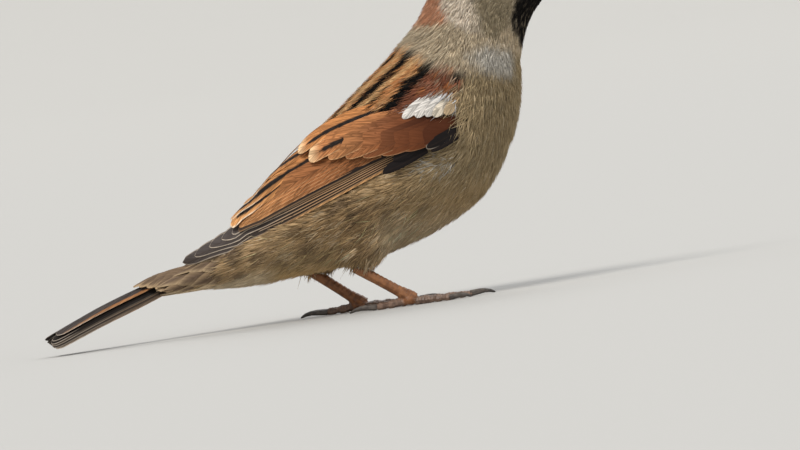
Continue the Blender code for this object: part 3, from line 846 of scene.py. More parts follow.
skin_material, tree, shader = principled("skin_and_down", Roughness=0.85, Specular_IOR_Level=0.25)
grain = noise_of(tree, own_place(tree), 900, 4)
shade = ramp_of(tree, grain, 0.3, 0.7, 0.45, 0.8)
shade = scaled(tree, reading(tree, "plumage", "Color"), shade)
dress(tree, shader, shade, None, grain, 0.5, 0.2)
dressed(skin, skin_material, "belly_feathers", *FLESH)

# Small body feathers. Each is a soft vane whose loose barbs part into fine strands at the tip, set
# in the skin at its root and lying back over the next. They are laid over the skin by one tree,
# region by region, and every strand hugs the skin at its own height.
TUFT_PATCH = 0.003  # width of a strand's own patch in the bake map


def tuft_tree():
    tree = bpy.data.node_groups.new("plumage_strands", "GeometryNodeTree")
    tree.is_modifier = True
    for name, kind, value in (
        ("Geometry", "Geometry", None), ("Density", "Float", 3e6), ("Size", "Float", 1.0),
        ("Spread", "Float", 0.2), ("Curl", "Float", 0.12), ("Height", "Float", 1.0),
        ("Taper", "Float", 0.5), ("Breadth", "Float", 1.0), ("Seed", "Int", 0),
        ("Material", "Material", None),
    ):
        made = tree.interface.new_socket(name, in_out="INPUT", socket_type="NodeSocket" + kind)
        if value is not None:
            made.default_value = value
    tree.interface.new_socket("Geometry", in_out="OUTPUT", socket_type="NodeSocketGeometry")
    given = node(tree, "NodeGroupInput").outputs
    result = node(tree, "NodeGroupOutput")

    def linked(kind, settings, out=0, **inputs):
        """A node with these settings and inputs, and one of its outputs."""
        made = node(tree, kind, **settings)
        for name, value in inputs.items():
            put(tree, made.inputs[name.replace("_", " ")], value)
        return made.outputs[out]

    def named(name, kind="FLOAT"):
        settings = {"data_type": kind}
        return linked("GeometryNodeInputNamedAttribute", settings, "Attribute", Name=name)

    def way(name):
        return named(name, "FLOAT_VECTOR")

    def store(geometry, name, value, kind="FLOAT", domain="POINT"):
        return linked("GeometryNodeStoreNamedAttribute", {"data_type": kind, "domain": domain},
                      Geometry=geometry, Name=name, Value=value)

    def vectors(operation, *values):
        made = node(tree, "ShaderNodeVectorMath", operation=operation)
        sockets = (made.inputs[0], made.inputs["Scale"]) if operation == "SCALE" else made.inputs
        for socket, value in zip(sockets, values):
            put(tree, socket, value)
        return made.outputs["Value"] if operation == "DOT_PRODUCT" else made.outputs[0]

    times, plus, less, power, share = (
        chained(tree, operation) for operation in ("MULTIPLY", "ADD", "SUBTRACT", "POWER", "DIVIDE")
    )

    def random(low, high, seed):
        made = node(tree, "FunctionNodeRandomValue", data_type="FLOAT")
        for socket, value in ((2, low), (3, high), ("Seed", plus(given["Seed"], seed))):
            put(tree, made.inputs[socket], value)
        return made.outputs[1]

    # One strand: a three-sided spike with a ridge, widest at a third of its length
    spike = linked("GeometryNodeMeshCone", {"fill_type": "NGON"}, "Mesh", Vertices=3,
                   Side_Segments=2, Radius_Top=0.0, Radius_Bottom=1.0, Depth=1.0)
    place = node(tree, "GeometryNodeInputPosition").outputs[0]
    parts = node(tree, "ShaderNodeSeparateXYZ")
    put(tree, parts.inputs[0], place)
    x, y, z = parts.outputs
    left = chained(tree, "MAXIMUM")(less(1.0, z), 0.001)
    strand = spike
    for name, value in (("t_along", z), ("t_across", share(y, left)), ("t_over", share(x, left))):
        strand = store(strand, name, value)

    # Roots on the skin, denser where the skin asks for it
    roots = linked("GeometryNodeDistributePointsOnFaces", {"distribute_method": "RANDOM"}, "Points",
                   Mesh=given["Geometry"], Density=times(named("cover"), given["Density"]),
                   Seed=given["Seed"])
    swing = times(random(-1, 1, 1), given["Spread"])
    ahead = linked("ShaderNodeVectorRotate", {"rotation_type": "AXIS_ANGLE"},
                   Vector=way("lie"), Axis=way("skin_out"), Angle=swing)
    long = times(named("tuft_length"), given["Size"], random(0.75, 1.2, 2))
    for name, value, kind in (
        ("r_root", place, "FLOAT_VECTOR"),
        ("r_way", vectors("SCALE", ahead, long), "FLOAT_VECTOR"),
        ("r_aside", vectors("CROSS_PRODUCT", way("skin_out"), ahead), "FLOAT_VECTOR"),
        ("r_out", way("skin_out"), "FLOAT_VECTOR"),
        ("r_long", long, "FLOAT"),
        ("r_tone", random(0, 1, 3), "FLOAT"),
        ("r_rise", random(0.35, 1.0, 4), "FLOAT"),
        ("r_curl", times(random(-1, 1, 5), given["Curl"]), "FLOAT"),
    ):
        roots = store(roots, name, value, kind)
    laid = linked("GeometryNodeInstanceOnPoints", {}, Points=roots, Instance=strand)
    real = linked("GeometryNodeRealizeInstances", {}, Geometry=laid)

    # Each strand is bent along its lie, then drawn to its height over the skin
    along, across, over = named("t_along"), named("t_across"), named("t_over")
    thinning = less(1.0, power(along, plus(1.2, given["Taper"])))
    belly = times(plus(0.5, times(along, 1.9)), thinning)
    half = times(named("tuft_breadth"), given["Breadth"], 0.55, belly)
    bow = times(named("r_curl"), named("r_long"), power(along, 2.0))
    shift = plus(times(across, half), bow)
    spot = vectors("ADD", way("r_root"), vectors("SCALE", way("r_way"), along))
    spot = vectors("ADD", spot, vectors("SCALE", way("r_aside"), shift))
    skin_spot = linked("GeometryNodeSampleNearestSurface", {"data_type": "FLOAT_VECTOR"}, "Value",
                       Mesh=given["Geometry"], Value=place, Sample_Position=spot)
    climb = plus(-0.03, times(1.03, power(along, 0.7)))
    lift = times(named("tuft_depth"), given["Height"], named("r_rise"), climb)
    rise = plus(lift, times(over, half, 0.38))
    strayed = vectors("DOT_PRODUCT", vectors("SUBTRACT", spot, skin_spot), way("r_out"))
    final = vectors("ADD", spot, vectors("SCALE", way("r_out"), less(rise, strayed)))
    moved = linked("GeometryNodeSetPosition", {}, Geometry=real, Position=final)

    # Bake map: a small patch for each strand, at its root's place on the skin's own unwrap
    patch = linked("ShaderNodeCombineXYZ", {}, X=times(across, 0.5 * TUFT_PATCH),
                   Y=times(less(along, 0.5), TUFT_PATCH))
    baked = store(moved, "OFBake", vectors("ADD", way("skin_map"), patch), "FLOAT2", "CORNER")
    middle = vectors("ADD", way("r_root"), vectors("SCALE", way("r_way"), 0.6))
    baked = store(baked, "r_middle", middle, "FLOAT_VECTOR")
    coloured = linked("GeometryNodeSetMaterial", {}, Geometry=baked, Material=given["Material"])
    put(tree, result.inputs[0], coloured)
    return tree


strand_tree = tuft_tree()
down_material, tree, shader = principled("soft_plumage", Roughness=0.82, Specular_IOR_Level=0.12)
put(tree, shader.inputs["Base Color"], reading(tree, "plumage", "Color"))


def held_in(mesh, name, field="value", wide=1):
    """An attribute's values, a row for each point."""
    found = np.empty(len(mesh.vertices) * wide, np.float32)
    mesh.attributes[name].data.foreach_get(field, found)
    return found.reshape(-1, wide)


STRAND_POINTS = 7  # points in one strand's mesh
NOT_KEPT = (
    "lie", "skin_out", "cover", "skin_map", "plumage", "tuft_length", "tuft_breadth", "tuft_depth",
)


def strands(name, cover, slot, density, seed, tint=1.0, own=None, **inputs):
    """One coat piece: strands over the part of the skin where cover is more than nothing, in the
    colours of the markings or in one of their own."""
    ground = skin_mesh.copy()
    give(ground, "cover", cover)
    holder = add_piece(name + "_ground", ground)
    laid = holder.modifiers.new("plumage", "NODES")
    laid.node_group = strand_tree
    inputs.update(Density=density, Seed=seed, Material=down_material)
    for item in strand_tree.interface.items_tree:
        if item.in_out == "INPUT" and item.name in inputs:
            laid[item.identifier] = inputs[item.name]
    mesh = plain_mesh(holder, name)
    bpy.data.objects.remove(holder)
    bpy.data.meshes.remove(ground)
    middle = held_in(mesh, "r_middle", "vector", 3)[::STRAND_POINTS].astype(float)
    shade = (plumage(middle) if own is None else np.tile(own, (len(middle), 1))) * tint
    shade *= 1 + 0.12 * ripple(middle * np.array([0.5, 1, 0.8]), 3.2 * MM, 51)[:, None]
    if tint > 1:
        shade = np.minimum(shade, 0.7)
    lum = shade.mean(axis=1, keepdims=True)
    tone = held_in(mesh, "r_tone")[::STRAND_POINTS]
    shade = shade * (0.79 + 0.40 * tone)
    pale = smoothstep(0.90, 0.98, tone) * smoothstep(0.05, 0.2, lum)
    tip = np.minimum(lum * 1.6, 0.85) * np.array([1.08, 0.97, 0.76])
    shade = shade + (tip - shade) * pale * 0.35
    # Each strand darkens towards its root: painted shade in the gaps between the strands, with the
    # darker bases of the feathers.
    colour = np.repeat(shade, STRAND_POINTS, axis=0) * (0.70 + 0.42 * held_in(mesh, "t_along"))
    colour += (0.95 - colour) * smoothstep(0.87, 0.92, np.repeat(lum, STRAND_POINTS, axis=0))
    for key in [held.name for held in mesh.attributes]:
        if key[:2] in ("r_", "t_") or key in NOT_KEPT:
            mesh.attributes.remove(mesh.attributes[key])
    give(mesh, "plumage", colour, "FLOAT_COLOR")
    dressed(add_piece(name, mesh), down_material, slot)


region_reach = np.linalg.norm(form_points - GAPE, axis=1) / MM
wing_cover = 1 - under_wing(form_points)
# Nothing grows between the closed wings, and beside the wing's edge the feathers lie lower
ahead_mm, height_mm = form_points[:, 0] / MM, form_points[:, 2] / MM
behind_mantle = smoothstep(46, 42, up_place) * smoothstep(13, 17, up_place)
wing_cover *= 1 - behind_mantle * (round_place < np.interp(up_place, [13, 46], [7, 14]))
at_edge = smoothstep(5.0, 1.6, past_edge) * (past_edge > -3)
at_edge = at_edge * smoothstep(76, 72, up_place) * (up_place > -5)
low_rear = 1 - 0.6 * smoothstep(-23, -30, ahead_mm)
give(skin_mesh, "tuft_depth", depth * (1 - 0.82 * at_edge) * low_rear)
give(skin_mesh, "tuft_length", length * (1 - 0.45 * at_edge))
edge_gap = np.interp(up_place, [34, 42, 60, 64], [1.5, 0.2, 0.2, 1.6])
wing_cover *= 1 - at_edge * smoothstep(0.8, 0.0, past_edge - edge_gap)
HEAD_REACH, NECK_REACH, BREAST_FROM, RUMP_FROM = 24, 40, 12, -14
in_head = 1 - smoothstep(HEAD_REACH, HEAD_REACH + 0.5, region_reach)
in_neck = (1 - in_head) * (1 - smoothstep(NECK_REACH, NECK_REACH + 0.5, region_reach))
in_body = (1 - in_head) * (1 - in_neck)
right = (form_points[:, 1] < 0).astype(float)
fore = smoothstep(BREAST_FROM - 0.2, BREAST_FROM + 0.2, ahead_mm)
aft = 1 - smoothstep(RUMP_FROM - 0.2, RUMP_FROM + 0.2, ahead_mm)
# Round the tail's root they give way to its coverts, and at the bill they stop short of the horn
facing_tail = smoothstep(0.3, 0.5, skin_out @ TAIL_WAY) * smoothstep(-30, -34, ahead_mm)
off_cap = smoothstep(-36.5, -33.5, ahead_mm) * (1 - facing_tail)
bill_tree = tree_round("bill_upper", "bill_lower")
off_horn = np.ones(len(skin_points))
for k in np.flatnonzero(form_points[:, 0] > GAPE[0] - 1 * MM):
    near, facing, _, gap = bill_tree.find_nearest(Vector(skin_points[k]))
    inside = (Vector(skin_points[k]) - near).dot(facing) < 0
    past_root = form_points[k, 0] > GAPE[0] + 1.9 * MM
    off_horn[k] = 0.0 if inside or past_root else smoothstep(0.0, 0.25 * MM, gap)
flank = smoothstep(30, 24, ahead_mm) * smoothstep(-30, -24, ahead_mm)
flank = flank * smoothstep(15, 20, height_mm)
# The lower back shows between the closed wings
back_edge = np.interp(up_place, [8, 16, 30, 46], [2.2, 6.2, 6.8, 5.0])
low_back = smoothstep(0.8, -0.8, round_place - back_edge)
low_back = low_back * smoothstep(35, 28, up_place) * smoothstep(8, 12, up_place)
# The white bar of the median coverts, the feathers of the breast that close over the bend of the
# wing, and the white down below the alula
BAR = (
    (68.5, 25.4), (74.4, 26.2), (76.2, 28.4), (78.0, 30.2), (76.5, 31.2), (73.4, 29.8),
    (70.4, 28.0),
)
FOLD = ((80.5, 29.5), (84.5, 28.8), (88, 33), (87, 40), (81.5, 41.5), (79.5, 37))
DOWN = ((64, 39), (67, 38.2), (71, 39.5), (74, 42), (75, 44.5), (72, 44.5), (68, 41.5))
bar, fold, down = (
    within(up_place, round_place, outline, soft)
    for outline, soft in ((BAR, 0.4), (FOLD, 2.0), (DOWN, 0.6))
)
body = in_body * wing_cover
COAT = (
    ("head", in_head * (1 - bare_lid) * off_horn, "crown_feathers", 20e6, 5,
     dict(Spread=0.22, Height=1.2, Breadth=0.85)),
    ("neck", in_neck * wing_cover, "neck_feathers", 12e6, 6, dict(Spread=0.3, Height=1.5)),
    ("breast", body * fore, "breast_feathers", 9.5e6, 7, dict(Spread=0.3, Height=1.35)),
    ("belly", body * (1 - fore) * (1 - aft), "belly_feathers", 9.5e6, 8,
     dict(Spread=0.3, Height=1.25)),
    ("rump", body * aft * off_cap, "rump_feathers", 11e6, 9,
     dict(Spread=0.15, Curl=0.06, Height=1.0, Breadth=1.25)),
    ("loose", body * smoothstep(4, 8, past_edge) * flank, "belly_feathers", 0.8e6, 10,
     dict(tint=1.45, Spread=0.4, Curl=0.3, Size=1.5, Height=1.5, Breadth=0.5)),
    ("back", in_body * low_back, "rump_feathers", 9e6, 14,
     dict(Spread=0.15, Curl=0.0, Height=0.55, Breadth=1.1)),
    ("bar", bar, "wing_feathers", 9e6, 11,
     dict(own=(0.70, 0.66, 0.61), Spread=0.10, Curl=0.06, Size=0.5, Height=1.2, Breadth=0.9)),
    ("fold", fold, "breast_feathers", 5e6, 12,
     dict(tint=1.25, Spread=0.22, Curl=0.4, Size=1.1, Height=2.0, Breadth=0.7)),
    ("down", down, "belly_feathers", 7e6, 13,
     dict(own=(0.50, 0.46, 0.39), Spread=0.5, Curl=0.5, Size=0.6, Height=1.7, Breadth=0.6)),
)
for side, share in (("right", right), ("left", 1 - right)):
    for region, cover, slot, density, seed, more in COAT:
        strands(f"plumage_{region}_{side}", cover * share, slot, density, seed, **more)

# Bill. Two hard horny sheaths over bone, black in a cock's spring dress, with a ridge on top, an
# open nostril at each side of the root and fine growth lines running to the cutting edge.
def rounded(name, nodes, grain, rounds=6, swell=0.0, balls=()):
    """One smooth closed mesh of these solids, their cuts filled if swell is as wide."""
    mesh = united(nodes, swell, grain, balls)
    mesh.name = name
    put_points(mesh, evened(mesh, points_of(mesh), rounds, keep=True))
    if swell:
        put_points(mesh, points_of(mesh) - normals_of(mesh) * swell)
    return mesh


bill_finish, tree, shader = principled(
    "bill_horn", Roughness=0.45, Specular_IOR_Level=0.22, Coat_Weight=0.06, Coat_Roughness=0.3
)
stretch = node(tree, "ShaderNodeMapping")
stretch.inputs["Scale"].default_value = (300, 1500, 1500)
put(tree, stretch.inputs["Vector"], own_place(tree))
lines = noise_of(tree, stretch.outputs[0], 1.0, 5)
shade = mottled(tree, lines, 0.35, 0.7, (0.010, 0.010, 0.011), (0.030, 0.028, 0.027))
shade = blend_of(tree, reading(tree, "worn"), shade, (0.09, 0.075, 0.06))
dress(tree, shader, shade, ramp_of(tree, lines, 0.3, 0.7, 0.32, 0.55), lines, 0.35, 0.06)
NOSTRIL = np.array([bill_low.x + 2.3 * MM, 1.9 * MM, bill_high.z - 1.75 * MM])
for part in ("upper", "lower"):
    mesh = rounded("bill_" + part, ["bill_" + part], 0.16 * MM)
    points, out = points_of(mesh), normals_of(mesh)
    low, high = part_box("bill_" + part)
    ahead = (points[:, 0] - low.x) / (high.x - low.x)
    aside = np.abs(points[:, 1])
    if part == "upper":
        folded = np.stack([points[:, 0], np.abs(points[:, 1]), points[:, 2]], axis=1)
        off = np.linalg.norm((folded - NOSTRIL) / np.array([0.75, 2.0, 0.42]) / MM, axis=1)
        relief = 0.10 * np.exp(-((off - 1.55) / 0.35) ** 2) - 0.42 * smoothstep(1.25, 0.4, off)
        points += out * relief[:, None] * MM
        ridge = smoothstep(0.55 * MM, 0.1 * MM, aside) * smoothstep(0.3, 0.8, out[:, 2])
        ridge = ridge * (1 - ahead)
        points += out * (0.12 * ridge * MM)[:, None]
        worn_edge = smoothstep(0.35 * MM, 0.05 * MM, points[:, 2] - (low.z + 0.1 * MM)) * 0.35
    else:
        groove = smoothstep(0.5 * MM, 0.15 * MM, aside) * smoothstep(0.3, 0.8, -out[:, 2])
        groove = groove * (1 - ahead) * (ahead > 0.1)
        points -= out * (0.10 * groove * MM)[:, None]
        worn_edge = smoothstep(0.9, 0.2, ahead) * smoothstep(0.3, 0.9, -out[:, 2]) * 0.45
    put_points(mesh, points)
    give(mesh, "worn", worn_edge)
    dressed(add_piece("horn_bill_" + part, mesh), bill_finish, "bill_horn", "bill_" + part)

# Eyes. Wet glossy balls with a dark brown iris round a wide black pupil, set under the lids.
eye_finish, tree, shader = principled(
    "eye_wet", Roughness=0.10, Specular_IOR_Level=0.05, Coat_Weight=0.22, Coat_Roughness=0.03
)
from_middle = reading(tree, "from_middle")  # degrees from the middle of the pupil
rays = noise_of(tree, reading(tree, "ray", "Vector"), 3.0, 4)
shade = mottled(tree, rays, 0.35, 0.65, (0.010, 0.0048, 0.003), (0.026, 0.012, 0.006))
shade = mottled(tree, from_middle, 23.0, 25.0, (0.0025, 0.002, 0.002), shade)
shade = mottled(tree, from_middle, 37.0, 40.0, shade, (0.010, 0.007, 0.006))
dress(tree, shader, shade)
for side in SIDES:
    mirror = -SIDES[side]
    facing = Vector((EYE_WAY[0], EYE_WAY[1] * mirror, EYE_WAY[2])).to_track_quat("Z", "Y")
    placed = Matrix.Translation((EYE[0], EYE[1] * mirror, EYE[2])) @ facing.to_matrix().to_4x4()
    mesh = bpy.data.meshes.new("eye_ball_" + side)
    build = bmesh.new()
    bmesh.ops.create_uvsphere(build, u_segments=64, v_segments=48, radius=EYE_RADIUS)
    ray, angle = [], []
    for x, y, z in (corner.co for corner in build.verts):
        turn, deep = math.atan2(y, x), z / EYE_RADIUS
        ray.append([math.cos(turn) * 4, math.sin(turn) * 4, deep * 0.6])
        angle.append(math.degrees(math.acos(max(-1, min(1, deep)))))
    bmesh.ops.transform(build, matrix=placed, verts=build.verts)
    build.to_mesh(mesh)
    build.free()
    give(mesh, "from_middle", angle)
    give(mesh, "ray", ray, "FLOAT_VECTOR")
    dressed(add_piece("eye_ball_" + side, mesh), eye_finish, "eye", "eye_" + side)

# Legs and feet. Thin horny skin over bone: broad overlapping scutes down the front of each leg and
# over each toe, fine granules behind, and soft pads under the toes.
leg_finish, tree, shader = principled("leg_scales", Roughness=0.5, Specular_IOR_Level=0.45)
spot = own_place(tree)
grain = noise_of(tree, spot, 700, 5)
cells = node(tree, "ShaderNodeTexVoronoi")
cells.inputs["Scale"].default_value = 3200
put(tree, cells.inputs["Vector"], spot)
shade = mottled(tree, grain, 0.32, 0.68, (0.160, 0.059, 0.019), (0.30, 0.124, 0.046))
toe_shade = mottled(tree, grain, 0.35, 0.65, (0.115, 0.072, 0.052), (0.22, 0.145, 0.105))
shade = blend_of(tree, reading(tree, "toe"), shade, toe_shade)
shade = blend_of(tree, reading(tree, "groove"), shade, (0.075, 0.036, 0.022))
rise = chained(tree, "ADD")(cells.outputs["Distance"], grain)
dress(tree, shader, shade, ramp_of(tree, grain, 0.3, 0.7, 0.42, 0.6), rise, 0.4, 0.08)
claw_finish, tree, shader = principled("claw_horn", Roughness=0.35, Specular_IOR_Level=0.5)
streaks = noise_of(tree, own_place(tree), 900, 3)
shade = mottled(tree, streaks, 0.3, 0.7, (0.050, 0.040, 0.034), (0.12, 0.098, 0.080))
shade = blend_of(tree, reading(tree, "to_point"), shade, (0.022, 0.018, 0.016))
dress(tree, shader, shade, ramp_of(tree, streaks, 0.3, 0.7, 0.28, 0.5))
SCUTE_LEG, SCUTE_TOE, TOE_JOINTS = 1.25, 0.78, 2.9  # millimetres from one to the next
FOOT_BALLS = (  # place behind the shin's front, height and radii
    (2.0, 1.45, (2.1, 2.3, 1.3)), (3.6, 1.15, (1.9, 1.5, 1.0)), (0.4, 1.05, (1.3, 2.2, 0.95)),
)
LEG_GRAIN, CLAW_GRAIN = 0.15 * MM, 0.11 * MM
CLAW_ROOM = 0.2 * MM  # how far outside its solid's box a claw's skin may lie
OFF_FLOOR = 0.02 * MM
for side in SIDES:
    names = [f"tarsus_{side}"] + [f"toe_{side}_{k}" for k in range(1, 5)]
    # The ball of the foot joins the four toes to the leg
    shin_low, shin_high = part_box(f"tarsus_{side}")
    foot_y = (shin_low.y + shin_high.y) / 2
    balls = [
        ((shin_high.x - back * MM, foot_y, up * MM), [radius * MM for radius in radii])
        for back, up, radii in FOOT_BALLS
    ]
    mesh = rounded("leg_" + side, names, LEG_GRAIN, 10, 0.2 * MM, balls)
    points, out = points_of(mesh), normals_of(mesh)
    best = np.full(len(points), 1e9)
    joint, step, facing, toe = np.zeros((4, len(points)))
    for name in names:
        solid = tree_round(name)
        gap = np.array([solid.find_nearest(Vector(point))[3] for point in points])
        spots = points_of(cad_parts[name].data)
        middle = spots.mean(axis=0)
        run = np.linalg.svd(spots - middle, full_matrices=False)[2][0]
        run *= np.sign(run[0])
        leg = name.startswith("tarsus")
        front = np.array([0.57, 0, 0.82]) if leg else np.array([0, 0, 1.0])
        along = (points - middle) @ run / MM
        uneven = 0.16 * ripple(points * np.array([1, 0, 0]) + middle, 3.5 * MM, 73)
        nearer = gap < best
        best = np.where(nearer, gap, best)
        step = np.where(nearer, (along + uneven) / (SCUTE_LEG if leg else SCUTE_TOE), step)
        swell = 0.0 if leg else 0.5 + 0.5 * np.cos(2 * math.pi * (along - 0.9) / TOE_JOINTS)
        joint = np.where(nearer, swell, joint)
        facing = np.where(nearer, smoothstep(-0.15, 0.35, out @ front), facing)
        toe = np.where(nearer, 0.0 if leg else 1.0, toe)
    part = step - np.floor(step)
    tile = (1 - part) * smoothstep(0.0, 0.12, part)
    under = (1 - facing) * toe
    lump = 0.5 + 0.5 * ripple(points, 0.9 * MM, 71)
    move = facing * (0.15 * tile - 0.05) * (1 - 0.25 * toe) + under * (0.14 * lump - 0.04)
    move = move + (1 - facing) * (1 - toe) * 0.03 * lump
    move += toe * (0.20 * joint**2 - 0.10) * (0.6 + 0.6 * under)
    points = points + out * (move * MM)[:, None]
    points[:, 2] = np.maximum(points[:, 2], OFF_FLOOR)
    put_points(mesh, points)
    seam = np.minimum(part, 1 - part * 0.9)
    give(mesh, "groove", facing * smoothstep(0.22, 0.02, seam) * 0.5)
    give(mesh, "toe", evened(mesh, toe, 14)[:, 0] * 0.9)
    dressed(add_piece("leg_" + side, mesh), leg_finish, "leg_scales", *names)
    claws = [f"claw_{side}_{k}" for k in range(1, 5)]
    mesh = rounded("claws_" + side, claws, CLAW_GRAIN, 4)
    points = points_of(mesh)
    to_point = np.zeros(len(points))
    for name in claws:
        low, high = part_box(name)
        inside = np.all(points > np.array(low) - CLAW_ROOM, axis=1)
        inside &= np.all(points < np.array(high) + CLAW_ROOM, axis=1)
        share = (points[:, 0] - low.x) / (high.x - low.x)
        hind = name.endswith("1")
        share = 1 - share if hind else share
        to_point = np.where(inside, share, to_point)
        # The root runs on into the toe
        root = (1 - smoothstep(0.0, 0.3, share)) * (0.7 if hind else -0.7) * MM
        points[:, 0] += np.where(inside, root, 0)
    put_points(mesh, points)
    give(mesh, "to_point", smoothstep(0.45, 1.0, to_point) * 0.9)
    dressed(add_piece("claws_" + side, mesh), claw_finish, "claw_horn", *claws)

# Flight feathers and wing coverts. Each is a stiff vane of barbs on a horny shaft, set in the wing
# and laid over its neighbour like a tile, the inner ones on top. A folded wing shows the outer web
# of each, and the coverts lie over the quills' bases.
NEAR_END = np.array([1, 0.78, 0.58, 0.4, 0.25, 0.13, 0.05, 0.0])
VANE_ALONG = np.concatenate([np.linspace(0, 0.8, 9)[:-1], 1 - 0.2 * NEAR_END])
VANE_ACROSS = np.array([-1, -0.8, -0.5, -0.2, 0, 0.2, 0.5, 0.8, 1])
VANE_THICK = 0.07 * MM
NO_DARK = ((0, -9.0), (1, -9.0))


def on_wing(side):
    """Places on one wing in millimetres: up from its tip, round from the back, and over it."""

    def place(up, around, rise):
        calm = 0.2 + 0.8 * smoothstep(1.0, 8.0, around)
        rise = np.where(rise > 0, rise * calm, rise)
        return on_back(up * MM, around * MM, rise * MM, SIDES[side])

    return place


def vane(surface, base, tip, low, high, web, seed, rise=(0, 0), sag=0.0, camber=0.10, wave=0.02,
         end=3.0, blunt=0.5, narrow=0.55, dark=NO_DARK, dark_off=0.0, web_tip=None, tip_from=0.6,
         pale=0.0, pale_from=0.0, rim=(0.66, 0.40, 0.20), rim_tip=None, inner_rim=0.0):
    """One feather from base to tip on a surface, in millimetres; low and high are its webs' widths.
    dark gives the half width of its dark middle along it, and pale how strong its rim is."""
    base, tip = np.array(base, float), np.array(tip, float)
    run = np.linalg.norm(tip - base)
    ahead = (tip - base) / run
    aside = np.array([-ahead[1], ahead[0]])
    aside = -aside if aside[1] < 0 else aside
    along, across = np.meshgrid(VANE_ALONG, VANE_ACROSS, indexing="ij")
    # Drawn in at the root and rounded at the end
    shape = narrow + (1 - narrow) * smoothstep(0, 0.4, along)
    start = 1 - end / run
    rounded = np.clip(1 - np.clip((along - start) / (1 - start), 0, 1) ** 2.2, 0, 1) ** blunt
    half = np.where(across > 0, low, high) * shape * rounded
    off = across * half + sag * 4 * along * (1 - along)
    a, b = (base[k] + ahead[k] * along * run + aside[k] * off for k in (0, 1))
    height = rise[0] + (rise[1] - rise[0]) * smoothstep(0, 0.75, along)
    waves = wave * np.sin(along * run / 2.3 + seed * 1.7) * np.abs(across)
    shaft = 0.07 * (np.abs(across) < 0.01) * (1 - along)
    height = height + camber * (1 - across**2) + waves + shaft
    top = surface(a, b, height)
    under = surface(a, b, height - VANE_THICK / MM)
    # Masks for the finish: how far in from the edge, and how far inside the dark middle
    inner_edge = (1 - np.abs(across)) * half
    to_end = (1 - along) * run * 0.8
    edge = inner_edge * to_end / np.sqrt(inner_edge**2 + to_end**2 + 1e-9)
    dark_half = np.interp(along, *np.array(dark).T)
    inside = np.minimum(dark_half - np.abs(across * half - dark_off), (dark_half > 0) * 9.0 - 0.01)
    # The rim shows on the outer web, and round the end on both
    shown = np.maximum(smoothstep(-0.15, 0.35, across), smoothstep(0.86, 0.96, along) * 0.8)
    shown = pale * np.maximum(shown, inner_rim)
    if pale_from:
        shown = shown * smoothstep(pale_from - 0.15, pale_from, along)
    tone = 0.86 + 0.28 * np.random.default_rng(1000 + seed).random()
    number = np.arange(along.size).reshape(along.shape)
    quads = np.stack([number[:-1, :-1], number[:-1, 1:], number[1:, 1:], number[1:, :-1]], axis=-1)
    quads = quads.reshape(-1, 4)
    border = np.concatenate([number[0, :], number[1:, -1], number[-1, -2::-1], number[-2:0:-1, 0]])
    after = np.roll(border, -1)
    sides = np.stack([border, border + along.size, after + along.size, after], axis=-1)
    faces = np.concatenate([quads[:, ::-1], quads + along.size, sides])
    outward = np.cross(top[1, 4] - top[0, 4], top[0, 5] - top[0, 4])
    if np.dot(outward, under[0, 4] - top[0, 4]) <= 0:
        faces = faces[:, ::-1]

    def turning(near, far, low, high):
        """A colour that turns to another along the feather."""
        near, far = np.array(near), np.array(near if far is None else far)
        return near + (far - near) * smoothstep(low, high, along)[..., None]

    found = {
        "along": along * run, "across": across * half, "edge": edge, "dark": inside, "pale": shown,
        "own": np.full(along.shape, seed * 0.73), "rim": turning(rim, rim_tip, 0.45, 0.85),
        "web": turning(web, web_tip, tip_from, 1.0) * tone,
    }
    found = {key: np.tile(values.reshape(along.size, -1), (2, 1)) for key, values in found.items()}
    return np.concatenate([top.reshape(-1, 3), under.reshape(-1, 3)]), faces, found


def feather_piece(name, vanes, material, slot, *nodes):
    """Joins feathers into one piece on the bird, standing for these nodes."""
    starts = np.cumsum([0] + [len(points) for points, _, _ in vanes])
    points = np.concatenate([one[0] for one in vanes])
    faces = np.concatenate([one[1] + start for one, start in zip(vanes, starts)])
    mesh = bpy.data.meshes.new(name)
    mesh.from_pydata(points.tolist(), [], faces.tolist())
    for key in vanes[0][2]:
        values = np.concatenate([one[2][key] for one in vanes])
        give(mesh, key, values, "FLOAT" if values.shape[1] == 1 else "FLOAT_COLOR")
    build = bmesh.new()
    build.from_mesh(mesh)
    bmesh.ops.remove_doubles(build, verts=build.verts, dist=0.001 * MM)
    bmesh.ops.dissolve_degenerate(build, edges=build.edges, dist=0.001 * MM)
    bmesh.ops.recalc_face_normals(build, faces=build.faces)
    build.to_mesh(mesh)
    build.free()
    dressed(add_piece(name, mesh), material, slot, *nodes)
    mesh.set_sharp_from_angle(angle=math.radians(50))


